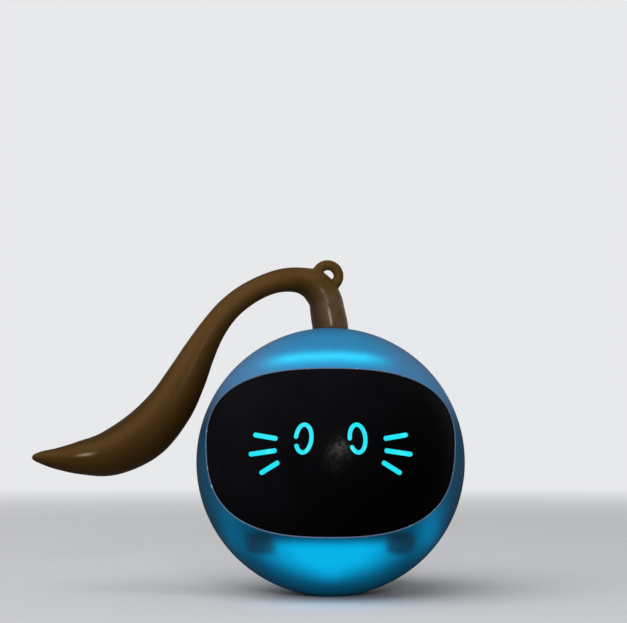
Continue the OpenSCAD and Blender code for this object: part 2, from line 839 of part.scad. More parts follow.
module bush(z0, z1) {
    difference() {
        rod_z([0, 0], bush_r, z0, z1);
        rod_z([0, 0], spindle_r + run_gap, -far, far);
    }
}

module upper_bush() {
    color("darkgoldenrod") from_middle() bush(cover_z - bush_lip, cover_z + cover_t);
}

module lower_bush() {
    color("darkgoldenrod") from_middle() bush(deck_z - bush_lip, deck_z + deck_t);
}

module idler_pin() {
    color("silver") from_middle() rod_z(idler_at, idler_pin_r, deck_z, cover_z + cover_t);
}

// Motor

module motor_outline(inset = 0) {
    intersection() {
        circle(r = motor_r - inset);
        square([far, motor_flat_w - 2 * inset], center = true);
    }
}

// A flat shape round the motor's axis, drawn up from z0 to z1
module motor_prism(z0, z1) {
    translate([motor_at[0], motor_at[1], z0]) linear_extrude(z1 - z0) children();
}

function motor_screw_spots() = [for (side = [-1, 1]) motor_at + [0, side * motor_screw_reach]];

module motor_can() {
    color("silver") from_middle() difference() {
        union() {
            motor_prism(motor_z + seat_gap, motor_z + motor_length) motor_outline();
            rod_z(motor_at, motor_boss_r, cover_z, motor_z + motor_wall);
        }
        motor_prism(motor_z + motor_wall, motor_z + motor_length + over) motor_outline(motor_wall);
        rod_z(motor_at, motor_shaft_r + run_gap, -far, far);
        for (at = motor_screw_spots()) rod_z(at, motor_screw_r + seat_gap, -far, far);
    }
}

module motor_magnets() {
    outer = motor_r - motor_wall - seat_gap;
    color("dimgray") from_middle() translate([motor_at[0], motor_at[1], motor_z + motor_wall + 1])
        linear_extrude(motor_length - motor_wall - 3) difference() {
            intersection() {
                circle(r = outer);
                square([far, motor_flat_w - 2 * motor_wall - 2.4], center = true);
            }
            circle(r = outer - magnet_t);
        }
}

module motor_end_bell() {
    color("white") from_middle() difference() {
        translate([motor_at[0], motor_at[1], motor_z + motor_length + seat_gap])
            linear_extrude(motor_bell_t - seat_gap) motor_outline();
        rod_z(motor_at, motor_shaft_r + run_gap, 0, motor_z + motor_length + motor_bell_t / 2);
    }
}

module motor_terminals() {
    base_z = motor_z + motor_length + motor_bell_t + seat_gap;
    color("gold") from_middle() for (side = [-1, 1])
        translate([motor_at[0] + side * terminal_x, motor_at[1], base_z])
            box([-0.9, -0.3, 0], [0.9, 0.3, terminal_h - seat_gap]);
}

module motor_screws() {
    color("silver") from_middle() for (at = motor_screw_spots()) {
        rod_z(at, motor_screw_r, cover_z - seat_gap, motor_z + motor_wall);
        rod_z(at, motor_screw_head_r, cover_z - seat_gap - motor_screw_head_h, cover_z - seat_gap);
    }
}

module motor_shaft() {
    color("silver") from_middle()
        rod_z(motor_at, motor_shaft_r, idler_big_z - 0.2, motor_z + motor_length + motor_bell_t / 2 - 0.2);
}

module motor_armature() {
    slot_w = 1.2;
    low_z = motor_z + motor_wall + 1.4;
    color("sienna") from_middle() translate([motor_at[0], motor_at[1], 0]) difference() {
        union() {
            rod_z([0, 0], armature_r, low_z, low_z + motor_length / 2);
            rod_z([0, 0], armature_r / 2, low_z, motor_z + motor_length - 0.8);
        }
        rod_z([0, 0], motor_shaft_r + seat_gap, -far, far);
        for (turn = [0:120:240]) rotate(turn)
            box([armature_r - 1.6, -slot_w / 2, -far], [far, slot_w / 2, far]);
    }
}

// Gears

// A point of the involute of a circle of radius rb, unrolled by t degrees
function involute(rb, t) = rb * [cos(t) + t * PI / 180 * sin(t), sin(t) - t * PI / 180 * cos(t)];

// The unrolled angle at which the involute reaches radius r
function unrolled(rb, r) = r <= rb ? 0 : sqrt(pow(r / rb, 2) - 1) * 180 / PI;

function turned(p, a) = [p[0] * cos(a) - p[1] * sin(a), p[0] * sin(a) + p[1] * cos(a)];

// One flank from root to tip, with the tooth's middle on the X axis
function flank(teeth, steps = 5) =
    let (
        pitch_r = gear_module * teeth / 2,
        rb = pitch_r * cos(pressure_angle),
        t_pitch = unrolled(rb, pitch_r),
        pitch_lag = t_pitch - pressure_angle,
        half = 90 / teeth - tooth_play / pitch_r * 180 / PI,
        low = max(rb, pitch_r - dedendum),
        start = unrolled(rb, low),
        end = unrolled(rb, pitch_r + addendum),
        root = turned([pitch_r - dedendum, 0], -half - pitch_lag)
    )
    concat(
        [root],
        [for (i = [0:steps]) turned(involute(rb, start + (end - start) * i / steps), -half - pitch_lag)]
    );

module gear_outline(teeth) {
    side = flank(teeth);
    last = len(side) - 1;
    tooth = concat(side, [for (i = [last:-1:0]) [side[i][0], -side[i][1]]]);
    polygon([for (k = [0:teeth - 1], p = tooth) turned(p, 360 * k / teeth)]);
}

module output_gear() {
    color("ivory") from_middle() translate([0, 0, output_z]) difference() {
        linear_extrude(output_t) rotate(idler_angle + 180 / output_teeth) gear_outline(output_teeth);
        rod_z([0, 0], spindle_r + seat_gap, -far, far);
    }
}

module idler_gear() {
    small_z = output_z - 0.1;
    color("ivory") from_middle() translate([idler_at[0], idler_at[1], 0]) difference() {
        union() {
            translate([0, 0, small_z]) linear_extrude(idler_small_t)
                rotate(idler_angle + 180) gear_outline(pinion_teeth);
            translate([0, 0, idler_big_z]) linear_extrude(idler_big_t)
                rotate(motor_angle) gear_outline(idler_teeth);
            rod_z([0, 0], idler_hub_r, idler_big_z, cover_z - 0.2);
        }
        rod_z([0, 0], idler_pin_r + run_gap, -far, far);
    }
}

module motor_pinion() {
    color("darkgoldenrod") from_middle() translate([motor_at[0], motor_at[1], idler_big_z - 0.2]) difference() {
        linear_extrude(idler_big_t + 0.4)
            rotate(motor_angle + 180 + 180 / pinion_teeth) gear_outline(pinion_teeth);
        rod_z([0, 0], motor_shaft_r + seat_gap, -far, far);
    }
}

// Spindle and weight

module spindle() {
    color("silver") from_middle() difference() {
        union() {
            rod_z([0, 0], spindle_r, weight_bottom_z, spindle_top_z);
            rod_z([0, 0], collar_r, weight_top_z + seat_gap, deck_z - bush_lip - 0.1);
        }
        rod_z([0, 0], weight_screw_r + seat_gap, -far, weight_bottom_z + weight_screw_length + 0.3);
    }
}

module eccentric_weight() {
    color("gray") from_middle() translate([0, 0, weight_bottom_z]) difference() {
        union() {
            intersection() {
                cylinder(r = weight_r, h = weight_h);
                box([weight_edge_x, -far, -over], [far, far, far]);
            }
            cylinder(r = weight_hub_r, h = weight_h);
        }
        rod_z([0, 0], spindle_r + seat_gap, -over, far);
    }
}

module weight_screw() {
    head_z = weight_bottom_z - seat_gap;
    color("silver") from_middle() difference() {
        union() {
            rod_z([0, 0], weight_screw_head_r, head_z - 1.4, head_z);
            rod_z([0, 0], weight_screw_r, head_z - 0.1, head_z + weight_screw_length);
        }
        box([-far, -0.35, head_z - 2], [far, 0.35, head_z - 0.8]);
    }
}

// Tail

// A smooth curve through points: the point at share u between points i and i + 1
function curve_point(points, i, u) =
    let (
        last = len(points) - 1,
        p0 = i > 0 ? points[i - 1] : 2 * points[0] - points[1],
        p1 = points[i],
        p2 = points[i + 1],
        p3 = i + 2 <= last ? points[i + 2] : 2 * points[last] - points[last - 1]
    )
    p1 + u / 2 * (p2 - p0 + u * (2 * p0 - 5 * p1 + 4 * p2 - p3 + u * (3 * (p1 - p2) + p3 - p0)));

function curve(points, steps) = concat(
    [for (i = [0:len(points) - 2], k = [0:steps - 1]) curve_point(points, i, k / steps)],
    [points[len(points) - 1]]
);

// Faces of a closed tube of rings, with flat ends
function tube_faces(rings, sides) = concat(
    [for (i = [0:rings - 2], k = [0:sides - 1], half = [0, 1])
        let (a = i * sides + k, b = i * sides + (k + 1) % sides)
        half == 0 ? [a, b, b + sides] : [a, b + sides, a + sides]],
    [[for (k = [sides - 1:-1:0]) k]],
    [[for (k = [0:sides - 1]) (rings - 1) * sides + k]]
);

// The tail's skin: round rings square to a middle line that lies in the plane of X and Z
module tail_skin() {
    line = curve([for (p = tail_points) [p[0], ball_r + p[1], p[2]]], tail_steps);
    last = len(line) - 1;
    rings = [for (i = [0:last])
        let (
            ahead = i == 0 ? [0, 1] : flat_way(line[min(i + 1, last)] - line[i - 1]),
            side = [ahead[1], 0, -ahead[0]]
        )
        for (k = [0:tail_sides - 1])
            let (a = 360 * k / tail_sides)
            [line[i][0], 0, line[i][1]] + line[i][2] * (cos(a) * side + sin(a) * [0, -1, 0])];
    polyhedron(rings, tube_faces(last + 1, tail_sides));
}

// The way a step of the middle line runs, without its change of radius
function flat_way(v) = [v[0], v[1]] / norm([v[0], v[1]]);

// Radius and height of the stem inside the tail, with one barb
module stem_core() {
    barb_z = seat_z + stem_barb_rise;
    rod_z([0, 0], stem_r, tail_base_z - over, stem_top_z);
    rod_z([0, 0], stem_barb_r, barb_z, barb_z + stem_barb_h);
}

// A disc along Y with a rounded rim
module loop_disc() {
    flat_h = loop_t / 2 - loop_round;
    translate([loop_x, 0, loop_z]) rotate([90, 0, 0]) rotate_extrude() {
        translate([0, -loop_t / 2]) square([loop_r - loop_round, loop_t]);
        translate([0, -flat_h]) square([loop_r, 2 * flat_h]);
        for (end = [-1, 1]) translate([loop_r - loop_round, end * flat_h]) circle(r = loop_round);
    }
}

module tail() {
    color("peru") from_middle() difference() {
        union() {
            tail_skin();
            loop_disc();
        }
        rod_y([loop_hole_x, loop_hole_z], loop_hole_r, -far, far);
        stem_core();
    }
}

module tail_stem() {
    color("white") from_middle() {
        intersection() {
            stem_core();
            rod_z([0, 0], far, tail_base_z, far);
        }
        rod_z([0, 0], stem_r, seat_floor_z - stem_flange_t, tail_base_z);
        rod_z([0, 0], stem_flange_r, seat_floor_z - seat_end_gap - stem_flange_t, seat_floor_z - seat_end_gap);
    }
}

// Wires

// A round tube along a list of points
module wire(points) {
    last = len(points) - 1;
    rings = [for (i = [0:last])
        let (
            step = points[min(i + 1, last)] - points[max(i - 1, 0)],
            ahead = step / norm(step),
            side = cross(ahead, [1, 0, 0]) / norm(cross(ahead, [1, 0, 0])),
            up = cross(side, ahead)
        )
        for (k = [0:wire_sides - 1])
            let (a = 360 * k / wire_sides)
            points[i] + wire_r * (cos(a) * side + sin(a) * up)];
    polyhedron(rings, tube_faces(last + 1, wire_sides));
}

module wire_pair(points, step) {
    wire(points);
    wire([for (p = points) p + step]);
}

module battery_leads() {
    color("crimson") from_middle() wire_pair(battery_wire, wire_pair_step);
}

module motor_leads() {
    color("crimson") from_middle() wire_pair(motor_wire, [2 * terminal_x, 0, 0]);
}

module face_board_leads() {
    color("crimson") from_middle() wire_pair(face_wire, wire_pair_step);
}

front_shell();
rear_shell();
visor();
face_light_guide();
visor_screws();
face_board();
face_leds();
glow_leds();
face_board_screws();
main_board();
main_board_screws();
usb_port();
usb_tongue();
tact_switch();
wake_sensor();
control_chip();
battery();
battery_pad();
gear_housing();
gear_cover();
cover_screws();
motor_can();
motor_magnets();
motor_end_bell();
motor_terminals();
motor_screws();
idler_pin();
upper_bush();
lower_bush();
shell_screws();
battery_leads();
motor_leads();
face_board_leads();
tail();
tail_stem();
power_button();
switch_stem();
spindle();
output_gear();
eccentric_weight();
weight_screw();
idler_gear();
motor_shaft();
motor_armature();
motor_pinion();
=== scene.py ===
# %% [markdown]
# # A glowing cat ball
# This toy is a tinted plastic ball with a black visor, a cat face of light and a curved silicone tail.
# Its solids come from the CAD model, in metres, and stay where they are. The lesson dresses them:
# smooth skins first, then finishes made of shader nodes, then the floor, the light and the camera.

# %% Load the frame
import json
import math

import bpy
import numpy as np
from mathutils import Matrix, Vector


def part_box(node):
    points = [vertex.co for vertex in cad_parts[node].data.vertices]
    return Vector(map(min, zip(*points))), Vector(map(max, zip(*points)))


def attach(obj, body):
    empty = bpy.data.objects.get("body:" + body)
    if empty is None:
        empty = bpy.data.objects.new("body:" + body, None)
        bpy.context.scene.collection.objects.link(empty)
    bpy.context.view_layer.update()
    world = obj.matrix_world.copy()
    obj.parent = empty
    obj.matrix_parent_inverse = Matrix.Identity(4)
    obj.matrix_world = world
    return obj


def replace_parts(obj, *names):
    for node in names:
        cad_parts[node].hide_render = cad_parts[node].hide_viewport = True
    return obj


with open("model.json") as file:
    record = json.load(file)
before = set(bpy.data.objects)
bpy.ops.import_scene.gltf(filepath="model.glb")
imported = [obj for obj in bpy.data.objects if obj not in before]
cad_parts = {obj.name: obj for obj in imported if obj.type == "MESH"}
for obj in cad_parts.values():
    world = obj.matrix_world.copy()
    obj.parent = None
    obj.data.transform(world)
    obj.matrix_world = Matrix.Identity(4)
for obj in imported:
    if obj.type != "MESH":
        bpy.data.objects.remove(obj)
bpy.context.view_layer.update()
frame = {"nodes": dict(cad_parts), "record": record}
nodes = frame["nodes"]

# %% [markdown]
# ## The ball that everything is measured from
# The real ball is two half shells on one centre. Every skin and every painted pattern below needs that
# centre and radius, so they are stated once, in metres. The ball stands on a small flat, which lowers
# the centre a little below one radius. The last line compares them with the solids.

# %% Ball centre and radius
MM = 0.001
BALL_R = 35 * MM
FLAT_R = 6 * MM
CENTRE = np.array([0.0, 0.0, math.sqrt(BALL_R ** 2 - FLAT_R ** 2)])
WALL = 2 * MM
VISOR_R = BALL_R - 0.2 * MM
low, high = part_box("front_shell")
print("half width of the front shell, mm:", round((high.x - low.x) / 2 / MM, 2), "of", BALL_R / MM)


# %% [markdown]
# ## Meshes from arrays
# A skin here is an array of points: rows along one parameter, columns along the other. Joining each
# point to its neighbours gives four-sided faces. Blender's own primitives would do for a ball or a box,
# but not for a curved tail, and array arithmetic keeps the whole job free of loops over vertices.

# %% Faces of a grid
def unit(vectors):
    """Each vector divided by its own length."""
    return vectors / np.linalg.norm(vectors, axis=-1, keepdims=True)


def grid_faces(rows, cols, wrap_rows=False, wrap_cols=False):
    """Quads of a grid of points: (r, c), (r, c + 1), (r + 1, c + 1), (r + 1, c). Where the grid wraps, the
    count starts again."""
    r, c = np.meshgrid(
        np.arange(rows if wrap_rows else rows - 1), np.arange(cols if wrap_cols else cols - 1), indexing="ij"
    )
    r2, c2 = (r + 1) % rows, (c + 1) % cols
    quads = np.stack([r * cols + c, r * cols + c2, r2 * cols + c2, r2 * cols + c], axis=-1)
    return quads.reshape(-1, 4)


print("a grid of 3 by 4 points has", len(grid_faces(3, 4)), "faces")


# %% Points and faces into an object
def put_mesh(name, points, faces, sharp_degrees=None):
    """A smooth-shaded object at the origin from points and faces. Edges over sharp_degrees stay crisp."""
    faces = faces.tolist() if isinstance(faces, np.ndarray) else faces
    mesh = bpy.data.meshes.new(name)
    mesh.from_pydata(np.asarray(points).reshape(-1, 3).tolist(), [], faces)
    mesh.polygons.foreach_set("use_smooth", np.ones(len(mesh.polygons), dtype=bool))
    mesh.update()
    if sharp_degrees is not None:
        mesh.set_sharp_from_angle(angle=math.radians(sharp_degrees))
    piece = bpy.data.objects.new(name, mesh)
    bpy.context.scene.collection.objects.link(piece)
    print(name, "has", len(mesh.vertices), "points and", len(mesh.polygons), "faces")
    return piece


# %% Curves and tubes
def curve_through(points, steps):
    """A smooth curve through rows of numbers: between two rows, the cubic whose slopes at both ends are
    half of the step from the row before to the row after."""
    points = np.asarray(points, float)
    padded = np.vstack([2 * points[0] - points[1], points, 2 * points[-1] - points[-2]])
    p0, p1, p2, p3 = (padded[i:len(padded) - 3 + i, None] for i in range(4))
    u = (np.arange(steps) / steps)[None, :, None]
    cubic = p1 + u / 2 * (p2 - p0 + u * (2 * p0 - 5 * p1 + 4 * p2 - p3 + u * (3 * (p1 - p2) + p3 - p0)))
    return np.vstack([cubic.reshape(-1, points.shape[1]), points[-1]])


def tube_points(path, radius, across, sides):
    """Rings round a path: centre + radius * (cos a * side + sin a * across). across is square to the path,
    and side is square to both."""
    ahead = unit(np.gradient(path, axis=0))
    side = unit(np.cross(across, ahead))
    across = np.cross(ahead, side)
    a = np.linspace(0, 2 * np.pi, sides, endpoint=False)[None, :, None]
    radius = np.broadcast_to(radius, len(path))[:, None, None]
    return path[:, None] + radius * (np.cos(a) * side[:, None] + np.sin(a) * across[:, None])


def capped_tube_faces(rings, sides):
    """The quads of an open tube, and one many-sided face at each end."""
    quads = grid_faces(rings, sides, wrap_cols=True).tolist()
    return quads + [list(range(sides - 1, -1, -1)), list(range((rings - 1) * sides, rings * sides))]


print("a tube of 5 rings with 8 sides has", len(capped_tube_faces(5, 8)), "faces")

# %% [markdown]
# ## The wires inside
# Thin wires join the battery, the motor and the face to the main board. Nobody sees them until the ball is
# opened, but they are there, so they get round skins as well. A curve with a bevel would give such a tube.
# A swept ring of points is chosen because its ends close and its length can be measured. Each route repeats
# the points of its solid in millimetres, counted from the ball's centre. Before them stands the step from
# one wire of the pair to the other.

# %% Routes of the wires
ROUTES = {
    "battery_leads": ([2, 0, 0], [
        [-11, -10.97, 16.717], [-11, -10.97, 18.46], [-11.03, -10.59, 20.14], [-11.13, -9.49, 21.46],
        [-11.29, -7.9, 22.15], [-11.48, -6.17, 22.2], [-11.7, -4.43, 22.2], [-11.92, -2.69, 22.2],
        [-12.11, -0.95, 22.2], [-12.27, 0.79, 22.2], [-12.37, 2.53, 22.2], [-12.4, 4.27, 22.2],
        [-12.4, 6.01, 22.2], [-12.4, 7.75, 22.2], [-12.4, 9.49, 22.19], [-12.4, 11.19, 21.86],
        [-12.4, 12.77, 21.13], [-12.39, 14.11, 20.04], [-12.05, 15.15, 18.64], [-11.36, 15.8, 17.04],
        [-10.53, 16.05, 15.32], [-9.73, 16.38, 13.68], [-9.17, 17.58, 12.44], [-9, 19.24, 12],
        [-9, 20.976, 12]]),
    "face_board_leads": ([2, 0, 0], [
        [3, -21.977, 8], [3, -20.09, 8], [3, -18.29, 8.45], [3, -16.97, 9.75], [3.02, -16.5, 11.55],
        [3.07, -16.5, 13.44], [3.15, -16.45, 15.32], [3.27, -16.01, 17.14], [3.41, -15.17, 18.82],
        [3.57, -13.95, 20.25], [3.76, -12.44, 21.36], [3.96, -10.71, 22.09], [4.18, -8.85, 22.39],
        [4.4, -6.97, 22.4], [4.64, -5.09, 22.4], [4.88, -3.21, 22.4], [5.12, -1.32, 22.4], [5.36, 0.56, 22.4],
        [5.6, 2.44, 22.4], [5.82, 4.32, 22.4], [6.04, 6.21, 22.4], [6.24, 8.09, 22.4], [6.43, 9.95, 22.15],
        [6.59, 11.65, 21.35], [6.73, 13.03, 20.09], [6.85, 13.97, 18.47], [6.93, 14.38, 16.64],
        [6.98, 14.65, 14.78], [7, 15.65, 13.21], [7, 17.24, 12.23], [7, 19.09, 12], [7, 20.976, 12]]),
    "motor_leads": ([7, 0, 0], [
        [-5.359, 10.44, 18.197], [-5.359, 10.44, 19.57], [-5.33, 10.68, 20.91], [-5.21, 11.45, 22.04],
        [-5.01, 12.62, 22.73], [-4.76, 13.98, 22.88], [-4.47, 15.27, 22.45], [-4.16, 16.27, 21.52],
        [-3.85, 16.79, 20.26], [-3.56, 16.84, 18.89], [-3.32, 16.85, 17.52], [-3.13, 17.28, 16.23],
        [-3.02, 18.28, 15.31], [-3, 19.6, 15], [-3, 20.976, 15]]),
}
print("points of each route:", {node: len(route) for node, (step, route) in ROUTES.items()})

# %% Tubes along the routes
WIRE_R = 0.6 * MM
WIRE_SIDES, WIRE_STEPS, WIRE_SHARP = 16, 5, 40
wires = []
for node, (step, route) in ROUTES.items():
    for number in (0, 1):
        line = CENTRE + (curve_through(route, WIRE_STEPS) + np.array(step) * number) * MM
        rings = tube_points(line, WIRE_R, np.tile([1.0, 0.0, 0.0], (len(line), 1)), WIRE_SIDES)
        tube_faces = capped_tube_faces(len(line), WIRE_SIDES)
        wire = put_mesh(f"{node}_wire_{number + 1}", rings, tube_faces, WIRE_SHARP)
        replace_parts(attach(wire, "shell"), node)
        wires.append(wire)

# %% [markdown]
# ## Round skins for the shells and the visor
# A CAD solid reaches Blender as flat triangles, so a ball's edge shows corners. The shells, the visor
# and the light guide have many holes and bosses, which would be hard to draw again. So each triangle of
# a copy is cut into a small grid of triangles, and where its three corners lie on one of the ball's
# spheres, the new points are pushed out onto that sphere. The shape stays and the curve becomes true.
# A Subdivision Surface modifier would also round the edges of the holes, so it isn't used here.

# %% Cut a triangle into a grid
def weights_of_grid(steps):
    """Shares of a triangle's three corners at the points of a grid in it, and the small triangles' indices:
    at row i and column j the shares are (steps - i - j, i, j) / steps."""
    i, j = np.meshgrid(np.arange(steps + 1), np.arange(steps + 1), indexing="ij")
    keep = i + j <= steps
    index = np.full(keep.shape, -1)
    index[keep] = np.arange(keep.sum())
    shares = np.stack([steps - i - j, i, j], axis=-1)[keep] / steps
    up, down = i + j < steps, i + j < steps - 1
    a = np.stack([index[:-1, :-1], index[1:, :-1], index[:-1, 1:]], -1)[up[:-1, :-1]]
    b = np.stack([index[1:, :-1], index[1:, 1:], index[:-1, 1:]], -1)[down[:-1, :-1]]
    return shares, np.vstack([a, b])


print("3 steps cut a triangle into", len(weights_of_grid(3)[1]))

# %% Push a copy of a solid onto its spheres
ON_SPHERE = 0.02 * MM
SKIN_SHARP = 25


def round_skin(name, node, radii, steps):
    """A copy of a node whose triangles are cut into grids. A grid on a sphere is scaled out to its radius, and
    so is any other triangle's edge that it shares with one, so that the skin stays closed. The corners
    stay."""
    source = nodes[node].data
    source.calc_loop_triangles()
    points = np.empty(len(source.vertices) * 3)
    source.vertices.foreach_get("co", points)
    corners = np.empty(len(source.loop_triangles) * 3, dtype=np.int64)
    source.loop_triangles.foreach_get("vertices", corners)
    # Loose triangles share no points, so points that agree to 7 digits of a metre are made one.
    points, ids = np.unique(points.reshape(-1, 3).round(7), axis=0, return_inverse=True)
    triangles = ids.reshape(-1)[corners].reshape(-1, 3)
    shares, small = weights_of_grid(steps)
    grids = np.einsum("kc,tcx->tkx", shares, points[triangles])
    reach = np.linalg.norm(points[triangles] - CENTRE, axis=2)
    edges = [(0, 1), (1, 2), (2, 0)]
    keys = np.stack([np.sort(triangles[:, e], axis=1) @ [len(points), 1] for e in edges], axis=1)
    for radius in radii:
        on_ball = (np.abs(reach - radius) < ON_SPHERE).all(axis=1)
        ball_edges = np.isin(keys, keys[on_ball])
        moved = np.repeat(on_ball[:, None], len(shares), axis=1)
        for k, (a, b) in enumerate(edges):
            moved |= ball_edges[:, k, None] & (shares[:, 3 - a - b] == 0)[None]
        moved &= (shares < 1).all(axis=1)[None]
        grids[moved] = CENTRE + radius * unit(grids[moved] - CENTRE)
    faces = (small[None] + len(shares) * np.arange(len(triangles))[:, None, None]).reshape(-1, 3)
    skin, merged = np.unique(grids.reshape(-1, 3).round(8), axis=0, return_inverse=True)
    faces = merged.reshape(-1)[faces]
    whole = (faces != np.roll(faces, 1, axis=1)).all(axis=1)
    piece = put_mesh(name, skin, faces[whole], SKIN_SHARP)
    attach(piece, "shell")
    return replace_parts(piece, node)


front_skin = round_skin("front_shell_skin", "front_shell", [BALL_R, BALL_R - WALL], 3)
rear_skin = round_skin("rear_shell_skin", "rear_shell", [BALL_R, BALL_R - WALL], 2)
visor_skin = round_skin("visor_skin", "visor", [VISOR_R], 3)
guide_skin = round_skin("face_light_skin", "face_light_guide", [VISOR_R], 2)

# %% [markdown]
# ## The lip round the visor window
# A moulded window never ends in a knife edge: a fine rounded lip runs round it and catches the light.
# A bevel on the shell's own edge would need clean rows of faces there, which its triangles don't have. So
# the lip is a thin round profile carried along the window's outline. The outline is a superellipse, which
# is an ellipse with squarer corners, a little wider at its top, and laid onto the ball.

# %% Outline of the window
WINDOW_W, WINDOW_H, WINDOW_RISE = 61.97 * MM, 40.5 * MM, 2.3 * MM
WINDOW_POWER, WINDOW_TAPER = 2.75, 0.048


def window_on_ball(count, radius):
    """u = |cos t|^(2/n) and v = |sin t|^(2/n) with their signs: x = half width * u * (1 + taper * v),
    z = rise + half height * v, and y puts the point on the ball's front."""
    t = np.linspace(0, 2 * np.pi, count, endpoint=False)
    u = np.sign(np.cos(t)) * np.abs(np.cos(t)) ** (2 / WINDOW_POWER)
    v = np.sign(np.sin(t)) * np.abs(np.sin(t)) ** (2 / WINDOW_POWER)
    x = WINDOW_W / 2 * u * (1 + WINDOW_TAPER * v)
    z = WINDOW_RISE + WINDOW_H / 2 * v
    y = -np.sqrt(radius ** 2 - x ** 2 - z ** 2)
    return CENTRE + np.stack([x, y, z], axis=1)


def even_loop(path, count):
    """The same closed path with its points at equal distances."""
    closed = np.vstack([path, path[:1]])
    run = np.concatenate([[0], np.cumsum(np.linalg.norm(np.diff(closed, axis=0), axis=1))])
    want = np.linspace(0, run[-1], count, endpoint=False)
    return np.stack([np.interp(want, run, closed[:, k]) for k in range(3)], axis=1)


LIP_R, LIP_SINK = 0.16 * MM, 0.08 * MM
LIP_COUNT, FINE_COUNT = 480, 4000
lip_path = even_loop(window_on_ball(FINE_COUNT, BALL_R - LIP_SINK), LIP_COUNT)
print("way round the window, mm:", round(LIP_COUNT * float(np.linalg.norm(lip_path[1] - lip_path[0])) / MM, 1))

# %% Carry a bead along it
BEAD_SIDES = 16
bead = np.linspace(0, 2 * np.pi, BEAD_SIDES, endpoint=False)[None, :, None]
ahead = unit(np.roll(lip_path, -1, axis=0) - np.roll(lip_path, 1, axis=0))
out = unit(lip_path - CENTRE)
side = unit(np.cross(ahead, out))
lip_points = lip_path[:, None] + LIP_R * (np.cos(bead) * out[:, None] + np.sin(bead) * side[:, None])
window_lip = put_mesh("window_lip", lip_points, grid_faces(LIP_COUNT, BEAD_SIDES, True, True))
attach(window_lip, "shell")

# %% [markdown]
# ## The tail and its loop
# The real tail is one piece of silicone: thick where it hangs, slim at the bend, with a ring to hang it
# by. It could be sculpted, but a sweep keeps to the measured middle line: a ring of points is carried along
# it, with a radius at each place. The hanging loop is a second tube bent into a ring that sinks into the
# tail. A voxel remesh melts the two into one skin, and a little smoothing rounds the crease, as the
# mould's radius does.

# %% Sweep the tail
# Each row holds x, the height above the top of the ball and the radius, in millimetres.
TAIL = np.array([
    [0, -0.7, 4.7], [-0.15, 1, 4.7], [-0.46, 2.57, 4.65], [-0.82, 4.55, 4.57], [-1.54, 7.82, 4.35],
    [-4.05, 11.1, 4.23], [-7.93, 12.62, 3.41], [-12.44, 12.67, 3.07], [-17.14, 11.37, 2.89],
    [-22.32, 8.63, 2.97], [-27.05, 4.74, 3.12], [-31.07, -0.46, 3.48], [-34.56, -6.52, 4.26],
    [-37.95, -13.27, 5.25], [-42.3, -20.69, 6.09], [-48.94, -27.91, 6.68], [-57.45, -32.57, 5.99],
    [-65.27, -33.85, 4.5], [-71.3, -34.1, 2.97], [-75.36, -33.85, 1.86], [-77.74, -33.75, 0.89],
    [-78.33, -33.7, 0.3],
]) * MM
TAIL_SIDES, TAIL_STEPS = 48, 10
FOOT_GAP = 0.1 * MM
line = curve_through(TAIL, TAIL_STEPS)
path = CENTRE + np.stack([line[:, 0], 0 * line[:, 0], BALL_R + line[:, 1]], axis=1)
across = np.tile([0.0, 1.0, 0.0], (len(path), 1))
tail_points = tube_points(path, line[:, 2], across, TAIL_SIDES)
# The foot is laid flat, a hair above its seat, so that the tail can swivel.
tail_points[0, :, 2] = path[0, 2] + FOOT_GAP
tail_faces = capped_tube_faces(len(path), TAIL_SIDES)
print("rings of the tail:", len(path))

# %% Bend the loop and join the two
LOOP_AT = np.array([-0.8, 0, 13.75]) * MM
LOOP_R, LOOP_SECTION, LOOP_T = 4.25 * MM, 1.36 * MM, 2.4 * MM
LOOP_COUNT = 96
turn = np.linspace(0, 2 * np.pi, LOOP_COUNT, endpoint=False)
ring_way = np.stack([np.cos(turn), 0 * turn, np.sin(turn)], axis=1)
ring = CENTRE + [0, 0, BALL_R] + LOOP_AT + (LOOP_R - LOOP_SECTION) * ring_way
loop_points = ring[:, None] + (
    LOOP_SECTION * np.cos(bead) * ring_way[:, None] + LOOP_T / 2 * np.sin(bead) * np.array([0.0, 1.0, 0.0])
)
loop_faces = grid_faces(LOOP_COUNT, BEAD_SIDES, True, True)[:, ::-1] + tail_points.reshape(-1, 3).shape[0]
both = np.vstack([tail_points.reshape(-1, 3), loop_points.reshape(-1, 3)])
rough_tail = put_mesh("tail_rough", both, tail_faces + loop_faces.tolist())


# %% Melt them into one skin
MELT_VOXEL = 0.3 * MM
MELT_ROUNDS = 8


def melted(piece, name, voxel, rounds):
    """A new object with the mesh of a piece after a voxel remesh and some smoothing. The old piece goes."""
    remesh = piece.modifiers.new("melt", "REMESH")
    remesh.mode, remesh.voxel_size, remesh.use_smooth_shade = "VOXEL", voxel, True
    smooth = piece.modifiers.new("round", "SMOOTH")
    smooth.factor, smooth.iterations = 0.5, rounds
    graph = bpy.context.evaluated_depsgraph_get()
    mesh = bpy.data.meshes.new_from_object(piece.evaluated_get(graph))
    bpy.data.objects.remove(piece)
    made = bpy.data.objects.new(name, mesh)
    bpy.context.scene.collection.objects.link(made)
    print(name, "has", len(mesh.vertices), "points and", len(mesh.polygons), "faces")
    return made


tail = melted(rough_tail, "tail_skin", MELT_VOXEL, MELT_ROUNDS)
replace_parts(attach(tail, "tail"), "tail")


# %% Mark its upper and its under side
NECK_END, NECK_FADE = 1 * MM, 6 * MM


